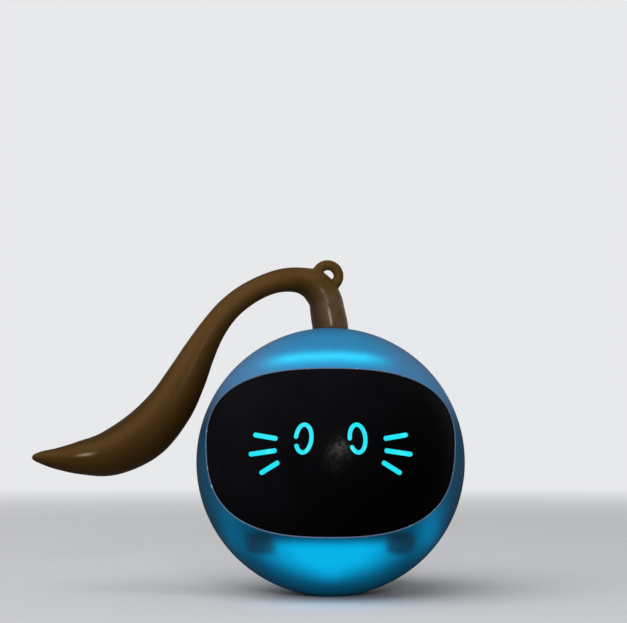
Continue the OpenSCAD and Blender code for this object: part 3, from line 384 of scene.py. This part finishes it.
def mark_sides(piece, path, radius, name):
    """With the middle line's height and radius read off at each point's x: side = height above that line,
    square to it, divided by the radius. It fades to 0 in the neck, which stands upright. The tail's finish
    reads it as an attribute."""
    points = np.empty(len(piece.data.vertices) * 3)
    piece.data.vertices.foreach_get("co", points)
    x, z = points.reshape(-1, 3)[:, 0], points.reshape(-1, 3)[:, 2]
    slope = np.gradient(path[:, 2]) / np.minimum(np.gradient(path[:, 0]), -1e-9)
    order = np.argsort(path[:, 0])
    level, reach, tilt = (np.interp(x, path[order, 0], row[order]) for row in (path[:, 2], radius, slope))
    side = (z - level) / np.sqrt(1 + tilt ** 2) / reach
    side = np.clip(side, -1, 1) * np.clip((-x - NECK_END) / NECK_FADE, 0, 1)
    piece.data.attributes.new(name, "FLOAT", "POINT").data.foreach_set("value", side.astype(np.float32))
    print("sides from", round(float(side.min()), 2), "to", round(float(side.max()), 2))


mark_sides(tail, path, line[:, 2], "upper_side")


# %% [markdown]
# ## The battery's foam pad
# Foam is cut square and then squeezed between the battery and its wall, so its faces stay flat and its rim
# swells. A cube with a Bevel modifier would have even round edges, which foam hasn't. So its skin is a
# superellipsoid: a box whose corners are rounded by one exponent.

# %% Points of a squeezed box
def squeezed_box(lower, upper, power, rows, cols):
    """With a from -90 to 90 degrees and b all the way round: x = cos a * cos b, z = cos a * sin b and
    y = sin a, each raised to 2 / power with its sign kept, and stretched to the box."""
    def rounded(value):
        return np.sign(value) * np.abs(value) ** (2 / power)

    a = np.linspace(-np.pi / 2, np.pi / 2, rows)[:, None]
    b = np.linspace(0, 2 * np.pi, cols, endpoint=False)[None, :]
    x, z = rounded(np.cos(a)) * rounded(np.cos(b)), rounded(np.cos(a)) * rounded(np.sin(b))
    ball = [x, rounded(np.sin(a)) + 0 * b, z]
    middle, half = (np.array(upper) + lower) / 2, (np.array(upper) - lower) / 2
    return middle + np.stack(ball, axis=-1) * half


PAD_POWER, PAD_ROWS, PAD_COLS = 9, 41, 96
pad_points = squeezed_box(*map(np.array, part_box("battery_pad")), PAD_POWER, PAD_ROWS, PAD_COLS)
print("size of the pad, mm:", (np.ptp(pad_points.reshape(-1, 3), axis=0) / MM).round(2).tolist())

# %% Close its poles and put it in place
pad_faces = grid_faces(PAD_ROWS - 2, PAD_COLS, wrap_cols=True) + 1
first_ring, last_ring = np.arange(PAD_COLS) + 1, np.arange(PAD_COLS) + 1 + (PAD_ROWS - 3) * PAD_COLS
top_pole = 1 + (PAD_ROWS - 2) * PAD_COLS
fans = np.vstack([
    np.stack([0 * first_ring, first_ring, np.roll(first_ring, -1)], axis=1),
    np.stack([0 * last_ring + top_pole, np.roll(last_ring, -1), last_ring], axis=1),
]).tolist()
pad_skin = np.vstack([pad_points[0, :1], pad_points[1:-1].reshape(-1, 3), pad_points[-1, :1]])
pad = put_mesh("battery_pad_skin", pad_skin, pad_faces[:, ::-1].tolist() + fans)
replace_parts(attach(pad, "shell"), "battery_pad")


# %% [markdown]
# ## Finishes as expressions
# A finish is a tree of shader nodes. Writing it as sums and products is easier to read than wiring it
# by hand, so a small class wraps one output socket, and each operator on it adds one Math node. Any
# other node comes from a single method that is given its type, its settings and what its sockets get.

# %% A socket that can be added and multiplied
class Field:
    """A value that changes over a surface: one output socket of a finish's node tree."""

    def __init__(self, finish, socket):
        self.finish, self.socket = finish, socket

    def math(self, operation, first, second):
        return self.finish.node("ShaderNodeMath", {"operation": operation}, {0: first, 1: second})

    def __add__(self, other):
        return self.math("ADD", self, other)

    def __sub__(self, other):
        return self.math("SUBTRACT", self, other)

    def __rsub__(self, other):
        return self.math("SUBTRACT", other, self)

    def __mul__(self, other):
        return self.math("MULTIPLY", self, other)

    def __truediv__(self, other):
        return self.math("DIVIDE", self, other)

    def __abs__(self):
        return self.math("ABSOLUTE", self, 0.0)

    __radd__, __rmul__ = __add__, __mul__


# %% Screen colours
def srgb(red, green, blue):
    """A screen colour, 0 to 255, as the linear colour that a shader works with."""
    c = np.array([red, green, blue]) / 255
    linear = np.where(c <= 0.04045, c / 12.92, ((c + 0.055) / 1.055) ** 2.4)
    return (*linear.tolist(), 1.0)


print("middle grey on a screen is", round(srgb(128, 128, 128)[0], 3), "to a shader")


# %% A finish under construction
class Finish:
    """A material under construction. plain holds the values that are the same all over the surface."""

    def __init__(self, name, plain):
        self.material = bpy.data.materials.new(name)
        self.material.use_nodes = True
        self.tree = self.material.node_tree
        self.shader = self.tree.nodes["Principled BSDF"]
        self.paint(plain)

    def paint(self, looks):
        for socket, value in looks.items():
            self.feed(self.shader.inputs[socket], value)

    def feed(self, socket, value):
        """A field is linked to the socket, and a plain value is set on it."""
        if isinstance(value, Field):
            self.tree.links.new(value.socket, socket)
        else:
            socket.default_value = value

    def node(self, kind, settings=None, sockets=None, out=0):
        """A new node: its settings first, then what its sockets get. Gives the output that is asked for, or a
        list of them."""
        made = self.tree.nodes.new(kind)
        for key, value in (settings or {}).items():
            setattr(made, key, value)
        for key, value in (sockets or {}).items():
            self.feed(made.inputs[key], value)
        if isinstance(out, tuple):
            return [Field(self, made.outputs[o]) for o in out]
        return Field(self, made.outputs[out])

    def on_ball(self):
        """The point on the object, counted from the ball's centre in ball radii."""
        return self.place(CENTRE, (BALL_R,) * 3)

    def place(self, centre=(0, 0, 0), size=(1, 1, 1)):
        """The point on the object, counted from centre and divided by size along each axis."""
        at = self.node("ShaderNodeTexCoord", out="Object")
        at = self.node("ShaderNodeVectorMath", {"operation": "SUBTRACT"}, {0: at, 1: tuple(centre)})
        return self.node("ShaderNodeVectorMath", {"operation": "DIVIDE"}, {0: at, 1: tuple(size)})

    def axes(self, at):
        return self.node("ShaderNodeSeparateXYZ", None, {0: at}, out=(0, 1, 2))

    def noise(self, at, scale, detail=3.0, rough=0.5):
        return self.node(
            "ShaderNodeTexNoise", None, {"Vector": at, "Scale": scale, "Detail": detail, "Roughness": rough}
        )

    def ease(self, value, start, end):
        """0 before start, 1 after end and an S-curve between. End may be below start."""
        return self.node(
            "ShaderNodeMapRange", {"interpolation_type": "SMOOTHSTEP"},
            {"Value": value, "From Min": start, "From Max": end},
        )

    def hump(self, value):
        """exp(-value squared): 1 at zero and fading on both sides."""
        return self.node("ShaderNodeMath", {"operation": "EXPONENT"}, {0: value * value * -1.0})

    def mix(self, share, first, second):
        return self.node("ShaderNodeMix", {"data_type": "RGBA"}, {0: share, 6: first, 7: second}, out=2)

    def tint(self, colour, amount):
        """A colour times a value."""
        settings = {"data_type": "RGBA", "blend_type": "MULTIPLY"}
        return self.node("ShaderNodeMix", settings, {0: 1.0, 6: colour, 7: amount}, out=2)

    def relief(self, height, depth):
        """Normals of a surface that a field raises by up to depth, in metres."""
        sockets = {"Height": height, "Distance": depth, "Strength": 1.0}
        return self.node("ShaderNodeBump", None, sockets, out="Normal")

    def put_on(self, *pieces):
        """The material goes on pieces, in place of any that they have."""
        for piece in pieces:
            if piece.material_slots:
                for place in piece.material_slots:
                    place.material = self.material
            else:
                piece.data.materials.append(self.material)
        print(self.material.name, "on", len(pieces), "piece(s)")


# %% [markdown]
# ## The glowing shell
# The real shell is milky tinted plastic with lamps behind it. Its glow isn't even: a bright crescent lies
# above the visor, a bright panel below it, the visor's lugs cast two dark patches of shadow, and the sides
# stay dim. Lamps behind plastic that lets light through would give such a glow, but slowly and with much
# noise. So the glow is painted: each form is a soft mask in x, y and z of the ball, and together they drive
# the emission. The lugs' shadows are painted too. The plastic under it has a dull blue of its own, darkened
# with painted shade at the seam, low down and under the lugs, and paled with a painted sheen on top, so the
# unlit parts look right as well.

# %% Where the glow lies
# All in ball radii from its centre. A pair of limits says where a mask is 0 and where it is 1.
CRESCENT_Z, CRESCENT_BEND, CRESCENT_T, CRESCENT_ENDS = 0.736, 0.16, 0.043, (0.58, 0.25)
PANEL_TOP, PANEL_FOOT, PANEL_SIDE = (-0.497, -0.6), (-0.92, -0.68), (0.26, -0.22)
PANEL_HALF, PANEL_NARROWING, PANEL_NARROWS = 0.41, 0.36, (-0.56, -0.98)
# Painted shadows of the visor's lugs on the glow: their middle and their size.
LUG_SHADOW_AT, LUG_SHADOW_SIZE = (0.49, -0.568), (0.115, 0.088)
LOBE_AT, LOBE_SIZE = (0.71, -0.49), (0.11, 0.19)
SPOT_Z, SPOT_SIZE = -0.775, (0.09, 0.06)


def glow_masks(f, at, mottle, front):
    """With x, y, z on a ball of radius 1. Crescent: hump of the distance to a low arc above the visor. Under:
    the same, a little lower and wider. Panel: a box with soft sides that narrows downwards. Lug shadow: a soft
    squarish blob, the painted shadow of a visor lug. Lobe: a round blob beside it. Spot: a small one low on
    the panel."""
    x, _, z = f.axes(at)
    side, right = abs(x), f.ease(x, -0.2, 0.3)
    arc = z - CRESCENT_Z + x * x * CRESCENT_BEND + 0.02 * (mottle - 0.5)
    wide = f.ease(side + 0.07 * right, *CRESCENT_ENDS) * front
    half = PANEL_HALF - PANEL_NARROWING * f.ease(z, *PANEL_NARROWS)
    panel = f.ease(z, *PANEL_TOP) * f.ease(z, *PANEL_FOOT) * f.ease(side - half, *PANEL_SIDE) * front
    u, w = (side - LUG_SHADOW_AT[0]) / LUG_SHADOW_SIZE[0], (z - LUG_SHADOW_AT[1]) / LUG_SHADOW_SIZE[1]
    u, w = u * u, w * w
    lobe = f.hump((side - LOBE_AT[0]) / LOBE_SIZE[0]) * f.hump((z - LOBE_AT[1]) / LOBE_SIZE[1])
    return {
        "crescent": f.hump(arc / CRESCENT_T) * wide,
        "under": f.hump((arc + 0.055) / 0.045) * wide,
        "panel": panel,
        "lug_shadow": f.hump(0.62 * (u * u + w * w) + 0.5 * (u + w) + 0.9 * (mottle - 0.5)) * front,
        "lobe": (0.13 + 0.15 * right) * lobe * front,
        "spot": f.hump(x / SPOT_SIZE[0]) * f.hump((z - SPOT_Z) / SPOT_SIZE[1]) * front,
    }


print("crescent from the top of the ball, mm:", round((1 - CRESCENT_Z) * BALL_R / MM, 1))

# %% Shell finish
# Dull blues of the plastic, with the painted shade and painted sheen that are laid over them.
SEAM_PAINTED_SHADE, DULL_FRONT, DULL_REAR = srgb(10, 28, 40), srgb(24, 54, 76), srgb(21, 60, 86)
LOW_PAINTED_SHADE, LUG_PAINTED_SHADOW, DULL_CLOUD = srgb(2, 26, 40), srgb(26, 48, 64), srgb(14, 40, 58)
TOP_PAINTED_SHEEN, SIDE_PAINTED_SHEEN = srgb(54, 80, 108), srgb(82, 90, 116)
GLOW, GLOW_PANEL = (0.001, 0.44, 0.9, 1.0), (0.001, 0.47, 0.86, 1.0)
GLOW_CRESCENT = (0.008, 0.62, 0.92, 1.0)


def shell_finish():
    """Level of the glow: the sum of the masks, each times its strength, of a faint glow all over the front and
    of a stronger one on the cap above the visor. It is dimmed by the painted shadows of the lugs and broken up
    by noise. The dull blue under it gets a painted sheen above and painted shade at the seam, low down and
    under the lugs."""
    f = Finish("tinted_shell", {"Specular IOR Level": 0.012, "Emission Strength": 1.0})
    at = f.on_ball()
    x, y, z = f.axes(at)
    side, front, rear = abs(x), f.ease(y, -0.04, -0.64), f.ease(y, -0.1, 0.35)
    cloud, mottle, grain = f.noise(at, 3.5, 4.0), f.noise(at, 13.0, 4.0, 0.6), f.noise(at, 120.0, 3.0)
    mask = glow_masks(f, at, mottle, front)
    cap = (front * 0.6 + 0.4 * f.ease(y, 0.15, -0.45)) * f.ease(z, 0.3, 0.72)
    cap = cap * (0.29 - 0.035 * f.ease(side, 0.35, 0.6) - 0.06 * f.ease(x, 0.1, 0.5))
    level = cap + front * (0.09 + 0.06 * f.ease(z, -0.4, -0.62)) + 0.03 * rear * cloud
    level = level + 0.07 * f.hump((z - 0.47) / 0.16) * f.ease(x, 0.5, 0.75) * f.ease(y, 0.1, -0.2)
    level = level + 0.56 * mask["crescent"] + 0.12 * mask["under"] + 0.78 * mask["panel"]
    level = level + 0.14 * mask["spot"] + mask["lobe"]
    # The painted shadows of the lugs dim the glow.
    level = level * (1 - 0.8 * mask["lug_shadow"]) * (0.92 + 0.16 * cloud) * (0.9 + 0.2 * grain)
    # Painted shade darkens the blue towards the seam.
    dull = f.mix(f.ease(y, 0.0, -0.6), SEAM_PAINTED_SHADE, DULL_FRONT)
    dull = f.mix(rear, dull, DULL_REAR)
    # Painted sheen pales the top of the front, greyer towards the sides.
    painted_sheen = f.mix(f.ease(side, 0.2, 0.6), TOP_PAINTED_SHEEN, SIDE_PAINTED_SHEEN)
    dull = f.mix(f.ease(z, 0.2, 0.52) * f.ease(y, 0.15, -0.25) * 0.9, dull, painted_sheen)
    # Painted shade darkens the lower front.
    dull = f.mix(f.ease(z, -0.28, -0.5) * f.ease(y, 0.2, -0.2), dull, LOW_PAINTED_SHADE)
    # Painted shadow under the lugs darkens the dull blue as well.
    dull = f.mix(0.8 * mask["lug_shadow"], dull, LUG_PAINTED_SHADOW)
    glow = f.mix(mask["panel"], GLOW, GLOW_PANEL)
    f.paint({
        "Base Color": f.mix(0.3 * cloud, dull, DULL_CLOUD),
        "Emission Color": f.tint(f.mix(mask["crescent"], glow, GLOW_CRESCENT), level),
        "Roughness": 0.5 + 0.12 * cloud,
        "Normal": f.relief(grain, 0.01 * MM),
    })
    return f


shell_finish().put_on(front_skin, rear_skin)

# %% [markdown]
# ## The lip, the visor and the light
# The lip shows as a thin pale line: its round profile faces the light on every side, and its pale blue is a
# painted highlight on top of that. A few painted glints on it are nearly white. The visor is gloss black with
# a faint haze, and a painted reflection makes it paler to the upper left. Handling has left a smudge between
# the eyes that shows where light glances off it. The smudge could be a second surface, but a coat whose
# weight follows a noise gives the same look on one. The strokes are clear plastic lit from behind: their
# colour is almost all emission, a little paler where a lamp sits close.

# %% Lip finish
def lip_finish():
    """Two pale blues mixed by noise, a painted highlight along the lip. Where a finer noise is high, a painted
    glint.
    """
    f = Finish("moulded_lip", {"Specular IOR Level": 0.4})
    at = f.on_ball()
    cloud, painted_glint = f.noise(at, 6.0), f.ease(f.noise(at, 26.0, 1.0), 0.68, 0.76)
    # The lip's pale blues are a painted highlight, and the near-white glints are painted too.
    blue = f.mix(cloud, srgb(70, 94, 124), srgb(98, 116, 144))
    f.paint({"Base Color": f.mix(painted_glint, blue, srgb(150, 190, 206)), "Roughness": 0.35 + 0.2 * cloud})
    return f


lip_finish().put_on(window_lip)

# %% Visor finish
# Each smudge: x and z of its middle, its width and height in ball radii, and its strength.
SMUDGES = [(0.06, 0.092, 0.075, 0.065, 1.0), (0.035, 0.01, 0.075, 0.075, 0.4)]


def visor_finish():
    """Coat = the smudges, each a hump across times a hump upwards, broken up by two noises."""
    f = Finish("gloss_black", {"Specular IOR Level": 0.004, "Coat Roughness": 0.36})
    at = f.on_ball()
    x, _, z = f.axes(at)
    haze_and_reflection, dust, smear = f.noise(at, 2.2, 4.0, 0.6), f.noise(at, 240.0, 1.0), f.noise(at, 9.0, 5.0, 0.65)
    speck = f.ease(f.noise(at, 42.0, 2.0), 0.35, 0.68)
    touched = sum(much * f.hump((x - u) / wide) * f.hump((z - w) / tall) for u, w, wide, tall, much in SMUDGES)
    f.paint({
        # A painted reflection: the black pales towards the upper left, broken up by the haze noise.
        "Base Color": f.mix(haze_and_reflection * f.ease(x - z, 0.9, -0.9), srgb(2, 2, 3), srgb(22, 20, 23)),
        "Roughness": 0.28 + 0.2 * haze_and_reflection + 0.05 * dust,
        "Coat Weight": touched * f.ease(smear, 0.3, 0.7) * (0.2 + 0.45 * speck),
    })
    return f


visor_finish().put_on(visor_skin)


# %% Stroke finish
def stroke_finish():
    """Emission = two bright blues mixed by noise."""
    f = Finish("lit_strokes", {"Specular IOR Level": 0.2, "Emission Strength": 1.0})
    paler = f.ease(f.noise(f.on_ball(), 14.0, 1.0), 0.5, 0.75)
    f.paint({
        "Base Color": srgb(6, 40, 46),
        "Emission Color": f.mix(paler, srgb(10, 226, 242), srgb(70, 240, 250)),
        "Roughness": 0.3 + 0.1 * paler,
    })
    return f


stroke_finish().put_on(guide_skin)

# %% [markdown]
# ## The silicone tail
# Silicone is soft to the eye: a broad sheen, faint clouds in the colour, and skin so fine that only the
# sheen shows it. Two browns mixed by noise give the clouds, and a very shallow bump breaks the sheen. Painted
# shade makes the tail darker underneath, along its top and on the neck's side under the bend, and a painted
# sheen makes its flank paler. That follows its bends, so x, y and z won't do, and the finish reads the side
# that was marked on the mesh. A coat on the neck shines as handling would polish it, and a pale streak near
# the tip is a painted highlight.

# %% Tail finish
BROWN_DEEP, BROWN_LIGHT, BROWN_FAR = srgb(76, 52, 20), srgb(90, 65, 29), srgb(64, 42, 12)
# Painted shade underneath and along the top, and a painted sheen on the flank.
BROWN_PAINTED_SHADE, BROWN_TOP_PAINTED_SHADE, BROWN_PAINTED_SHEEN = srgb(28, 16, 4), srgb(40, 27, 12), srgb(98, 70, 36)
# A painted highlight near the tip: its colour, and its place along x and round the tail.
TIP_PAINTED_HIGHLIGHT, TIP_HIGHLIGHT_X, TIP_HIGHLIGHT_SIDE = srgb(176, 152, 122), -1.81, 0.12
ARM_X, ARM_REACH = -0.74, 0.3


def tail_finish():
    """Upper: 1 on the tail's upper side, 0 on its middle and -1 underneath. Arm: a hump along the tail where
    the painted sheen on its flank is palest. Inner shade: the neck's side under the bend, darkened with
    painted shade."""
    f = Finish("brown_silicone", {"Specular IOR Level": 0.01, "Coat Roughness": 0.24})
    at = f.on_ball()
    x, y, z = f.axes(at)
    cloud, skin, touch = f.noise(at, 2.6, 5.0, 0.6), f.noise(at, 70.0, 3.0), f.noise(at, 16.0, 4.0, 0.6)
    upper = f.node("ShaderNodeAttribute", {"attribute_name": "upper_side"}, out="Fac")
    arm = f.hump((x - ARM_X) / ARM_REACH)
    # Painted shade on the neck's side under the bend.
    inner_shade = f.ease(x, 0.02, -0.12) * f.ease(x, -0.34, -0.2) * f.ease(upper, 0.25, -0.1)
    # Painted sheen along the flank, strongest on the arm.
    flank_sheen = (0.08 + 0.37 * f.ease(x, -0.5, -1.1)) * f.hump((upper - 0.45) / 0.3)
    flank_sheen = flank_sheen + 0.5 * arm * f.hump((upper + 0.05) / 0.4)
    # The painted highlight near the tip.
    tip_highlight = f.hump((x - TIP_HIGHLIGHT_X) / 0.06) * f.hump((upper - TIP_HIGHLIGHT_SIDE) / 0.07) * f.ease(y, 0.0, -0.03)
    polish = f.ease(x, -0.25, 0.0) * f.ease(y, 0.02, -0.06) * f.ease(z, 1.34, 1.2) * f.ease(touch, 0.15, 0.62)
    brown = f.mix(cloud, BROWN_DEEP, BROWN_LIGHT)
    brown = f.mix(f.ease(x, -0.5, -1.5) * (0.75 + 0.25 * skin), brown, BROWN_FAR)
    # Painted shade: darker underneath, less so on the arm, on the neck's inner side and along the top.
    brown = f.mix((0.5 - 0.32 * arm) * f.ease(upper, 0.1, -0.8), brown, BROWN_PAINTED_SHADE)
    brown = f.mix(0.4 * inner_shade, brown, BROWN_PAINTED_SHADE)
    brown = f.mix(0.38 * f.ease(upper, 0.5, 1.0), brown, BROWN_TOP_PAINTED_SHADE)
    # Painted sheen pales the flank.
    brown = f.mix(flank_sheen, brown, BROWN_PAINTED_SHEEN)
    f.paint({
        # The painted highlight near the tip goes into the base colour.
        "Base Color": f.mix(0.7 * tip_highlight, brown, TIP_PAINTED_HIGHLIGHT),
        "Roughness": 0.4 + 0.14 * cloud + 0.06 * skin,
        "Coat Weight": 0.02 + 0.04 * cloud + 0.5 * polish,
        "Normal": f.relief(skin, 0.03 * MM),
    })
    return f


tail_finish().put_on(tail)

# %% [markdown]
# ## Everything else
# The pieces inside keep their CAD shapes. Pictures could be wrapped round them, but noise on Object
# coordinates needs no files and fits any shape. So each piece gets the finish of its slot in the record: a
# colour that wanders between two tones, with its own grain, roughness and metal share.

# %% Finishes by slot
GRAIN_ROUND = (1.0, 1.0, 1.0)
GRAIN_LONG = (1.0, 1.0, 14.0)
PLAIN_FINISHES = {
    # slot: tone, other tone, roughness, metallic, grain per millimetre, its direction, relief in micrometres
    "white_plastic": ((205, 207, 208), (188, 192, 194), 0.45, 0.0, 0.8, GRAIN_ROUND, 8),
    "black_plastic": ((26, 26, 28), (40, 40, 42), 0.5, 0.0, 1.5, GRAIN_ROUND, 10),
    "gear_plastic": ((226, 214, 184), (206, 192, 160), 0.4, 0.0, 0.6, GRAIN_ROUND, 5),
    "circuit_board": ((16, 84, 48), (30, 120, 70), 0.35, 0.0, 0.9, (1.0, 1.0, 0.2), 6),
    "led_lens": ((240, 226, 150), (250, 244, 214), 0.25, 0.0, 1.2, GRAIN_ROUND, 2),
    "steel": ((150, 152, 156), (186, 188, 190), 0.3, 1.0, 1.6, GRAIN_LONG, 4),
    "brass": ((180, 140, 66), (206, 168, 92), 0.32, 1.0, 1.6, GRAIN_LONG, 4),
    "copper_winding": ((140, 66, 30), (186, 98, 50), 0.4, 0.8, 2.4, GRAIN_LONG, 20),
    "magnet": ((44, 44, 46), (62, 62, 64), 0.6, 0.4, 1.2, GRAIN_ROUND, 10),
    "battery_pouch": ((170, 172, 176), (196, 198, 200), 0.38, 0.9, 0.3, GRAIN_ROUND, 30),
    "foam": ((22, 22, 22), (40, 40, 40), 0.9, 0.0, 3.0, GRAIN_ROUND, 60),
    "wire_red": ((150, 18, 16), (176, 34, 28), 0.45, 0.0, 0.8, GRAIN_ROUND, 5),
}


def plain_finish(name, tone, other, rough, metal, grain, way, relief_um):
    """Colour = tone mixed with other by noise; roughness = rough plus the same noise; relief = fine noise."""
    f = Finish(name, {"Metallic": metal})
    at = f.place((0, 0, 0), tuple(MM * k for k in way))
    tone_noise, fine = f.noise(at, grain, 4.0), f.noise(at, 6 * grain, 2.0)
    f.paint({
        "Base Color": f.mix(tone_noise, srgb(*tone), srgb(*other)),
        "Roughness": rough - 0.06 + 0.12 * tone_noise,
        "Normal": f.relief(fine, relief_um * MM / 1000),
    })
    return f


# %% Each shown piece by its slot
shown_by_slot = {}
for part in frame["record"]["subparts"]:
    piece = nodes[part["node"]]
    if not piece.hide_render:
        shown_by_slot.setdefault(part["material_slot"], []).append(piece)
shown_by_slot.setdefault("wire_red", []).extend(wires)
shown_by_slot.setdefault("foam", []).append(pad)
for slot, pieces in sorted(shown_by_slot.items()):
    plain_finish(slot, *PLAIN_FINISHES[slot]).put_on(*pieces)

# %% [markdown]
# ## Floor and light
# A pale floor runs out to a pale surrounding, as in a studio. A picture of a room could light the ball, but
# lamps and a plain surrounding are easier to place. The surrounding shows one brightness to the camera and
# to reflections, and a lower one as light, so the background is pale without washing out the ball. One
# broad soft lamp stands above and to the left, and a small one by the camera gives the visor its glint.

# %% Floor
BACKDROP = srgb(232, 233, 235)
FLOOR_R, FLOOR_FADE = 6.0, (0.2, 1.4)
floor_corners = np.array([[-1, -1, 0], [1, -1, 0], [1, 1, 0], [-1, 1, 0]]) * FLOOR_R
floor = put_mesh("floor", floor_corners, np.array([[0, 1, 2, 3]]))


def floor_finish():
    """Plain near the object. Away from it, the floor fades into the backdrop's own brightness, where it is
    seen directly or in a reflection, so that no horizon shows."""
    f = Finish("pale_floor", {"Base Color": srgb(228, 229, 231), "Roughness": 0.9, "Specular IOR Level": 0.1})
    away = f.node("ShaderNodeVectorMath", {"operation": "LENGTH"}, {0: f.place()}, out="Value")
    seen, glossy = f.node("ShaderNodeLightPath", out=("Is Camera Ray", "Is Glossy Ray"))
    share = f.ease(away, *FLOOR_FADE) * (seen + glossy)
    plain, bright = Field(f, f.shader.outputs[0]), f.node("ShaderNodeEmission", None, {"Color": BACKDROP})
    blend = f.node("ShaderNodeMixShader", None, {0: share, 1: plain, 2: bright})
    f.feed(f.tree.nodes["Material Output"].inputs["Surface"], blend)
    return f


floor_finish().put_on(floor)


# %% Lamps
LIT_POINT = (0, 0, 0.04)


def lamp(name, at, target, size, watts, spread=180):
    """A square soft lamp at one point, turned so that its light goes to another, in a cone of spread
    degrees."""
    data = bpy.data.lights.new(name, "AREA")
    data.size, data.energy, data.spread = size, watts, math.radians(spread)
    made = bpy.data.objects.new(name, data)
    bpy.context.scene.collection.objects.link(made)
    made.location = at
    made.rotation_euler = (made.location - Vector(target)).to_track_quat("Z", "Y").to_euler()
    print(name, "of", watts, "W")


lamp("key_lamp", (-0.6, -0.9, 1.3), LIT_POINT, 2.2, 25.5)
lamp("glint_lamp", (0.056, -0.45, 0.15), LIT_POINT, 0.035, 0.042, spread=60)

# %% Surroundings
LIGHT_SHARE = 0.3


class Surroundings(Finish):
    """The world's node tree, built with the methods of a finish."""

    def __init__(self, name):
        self.world = bpy.data.worlds.new(name)
        self.world.use_nodes = True
        self.tree = self.world.node_tree
        self.shader = self.tree.nodes["Background"]


around = Surroundings("surroundings")
rays = around.node("ShaderNodeLightPath", out=("Is Camera Ray", "Is Glossy Ray", "Is Transmission Ray"))
strength = around.node("ShaderNodeMapRange", None, {"Value": sum(rays), "To Min": LIGHT_SHARE, "To Max": 1.0})
around.paint({"Color": BACKDROP, "Strength": strength})
bpy.context.scene.world = around.world
print("share of the surroundings' brightness that lights the ball:", LIGHT_SHARE)

# %% [markdown]
# ## The camera
# The photograph was taken level with the middle of the ball, from about nine ball radii away. The lens is
# worked out from the focal length in pixels, and the shift puts the ball where the photograph has it. A
# turned camera could frame it too, but would tilt the upright lines.

# %% Camera
PHOTO_W, PHOTO_H = 627, 623
FOCAL_PX = 1220.5
DISTANCE = 320 * MM
BALL_PX = (330.6, 462.1)
SENSOR = 36.0
NEAREST = 0.01
camera = bpy.data.cameras.new("camera")
camera.sensor_fit, camera.sensor_width = "HORIZONTAL", SENSOR
camera.lens = SENSOR * FOCAL_PX / PHOTO_W
camera.shift_x = -(BALL_PX[0] - PHOTO_W / 2) / PHOTO_W
camera.shift_y = (BALL_PX[1] - PHOTO_H / 2) / PHOTO_W
camera.clip_start = NEAREST
eye = bpy.data.objects.new("camera", camera)
bpy.context.scene.collection.objects.link(eye)
eye.location = CENTRE - [0, DISTANCE, 0]
eye.rotation_euler = (math.pi / 2, 0, 0)
bpy.context.scene.camera = eye
bpy.context.scene.view_settings.view_transform = "Standard"
print("lens, mm:", round(camera.lens, 2), "shift:", round(camera.shift_x, 4), round(camera.shift_y, 4))
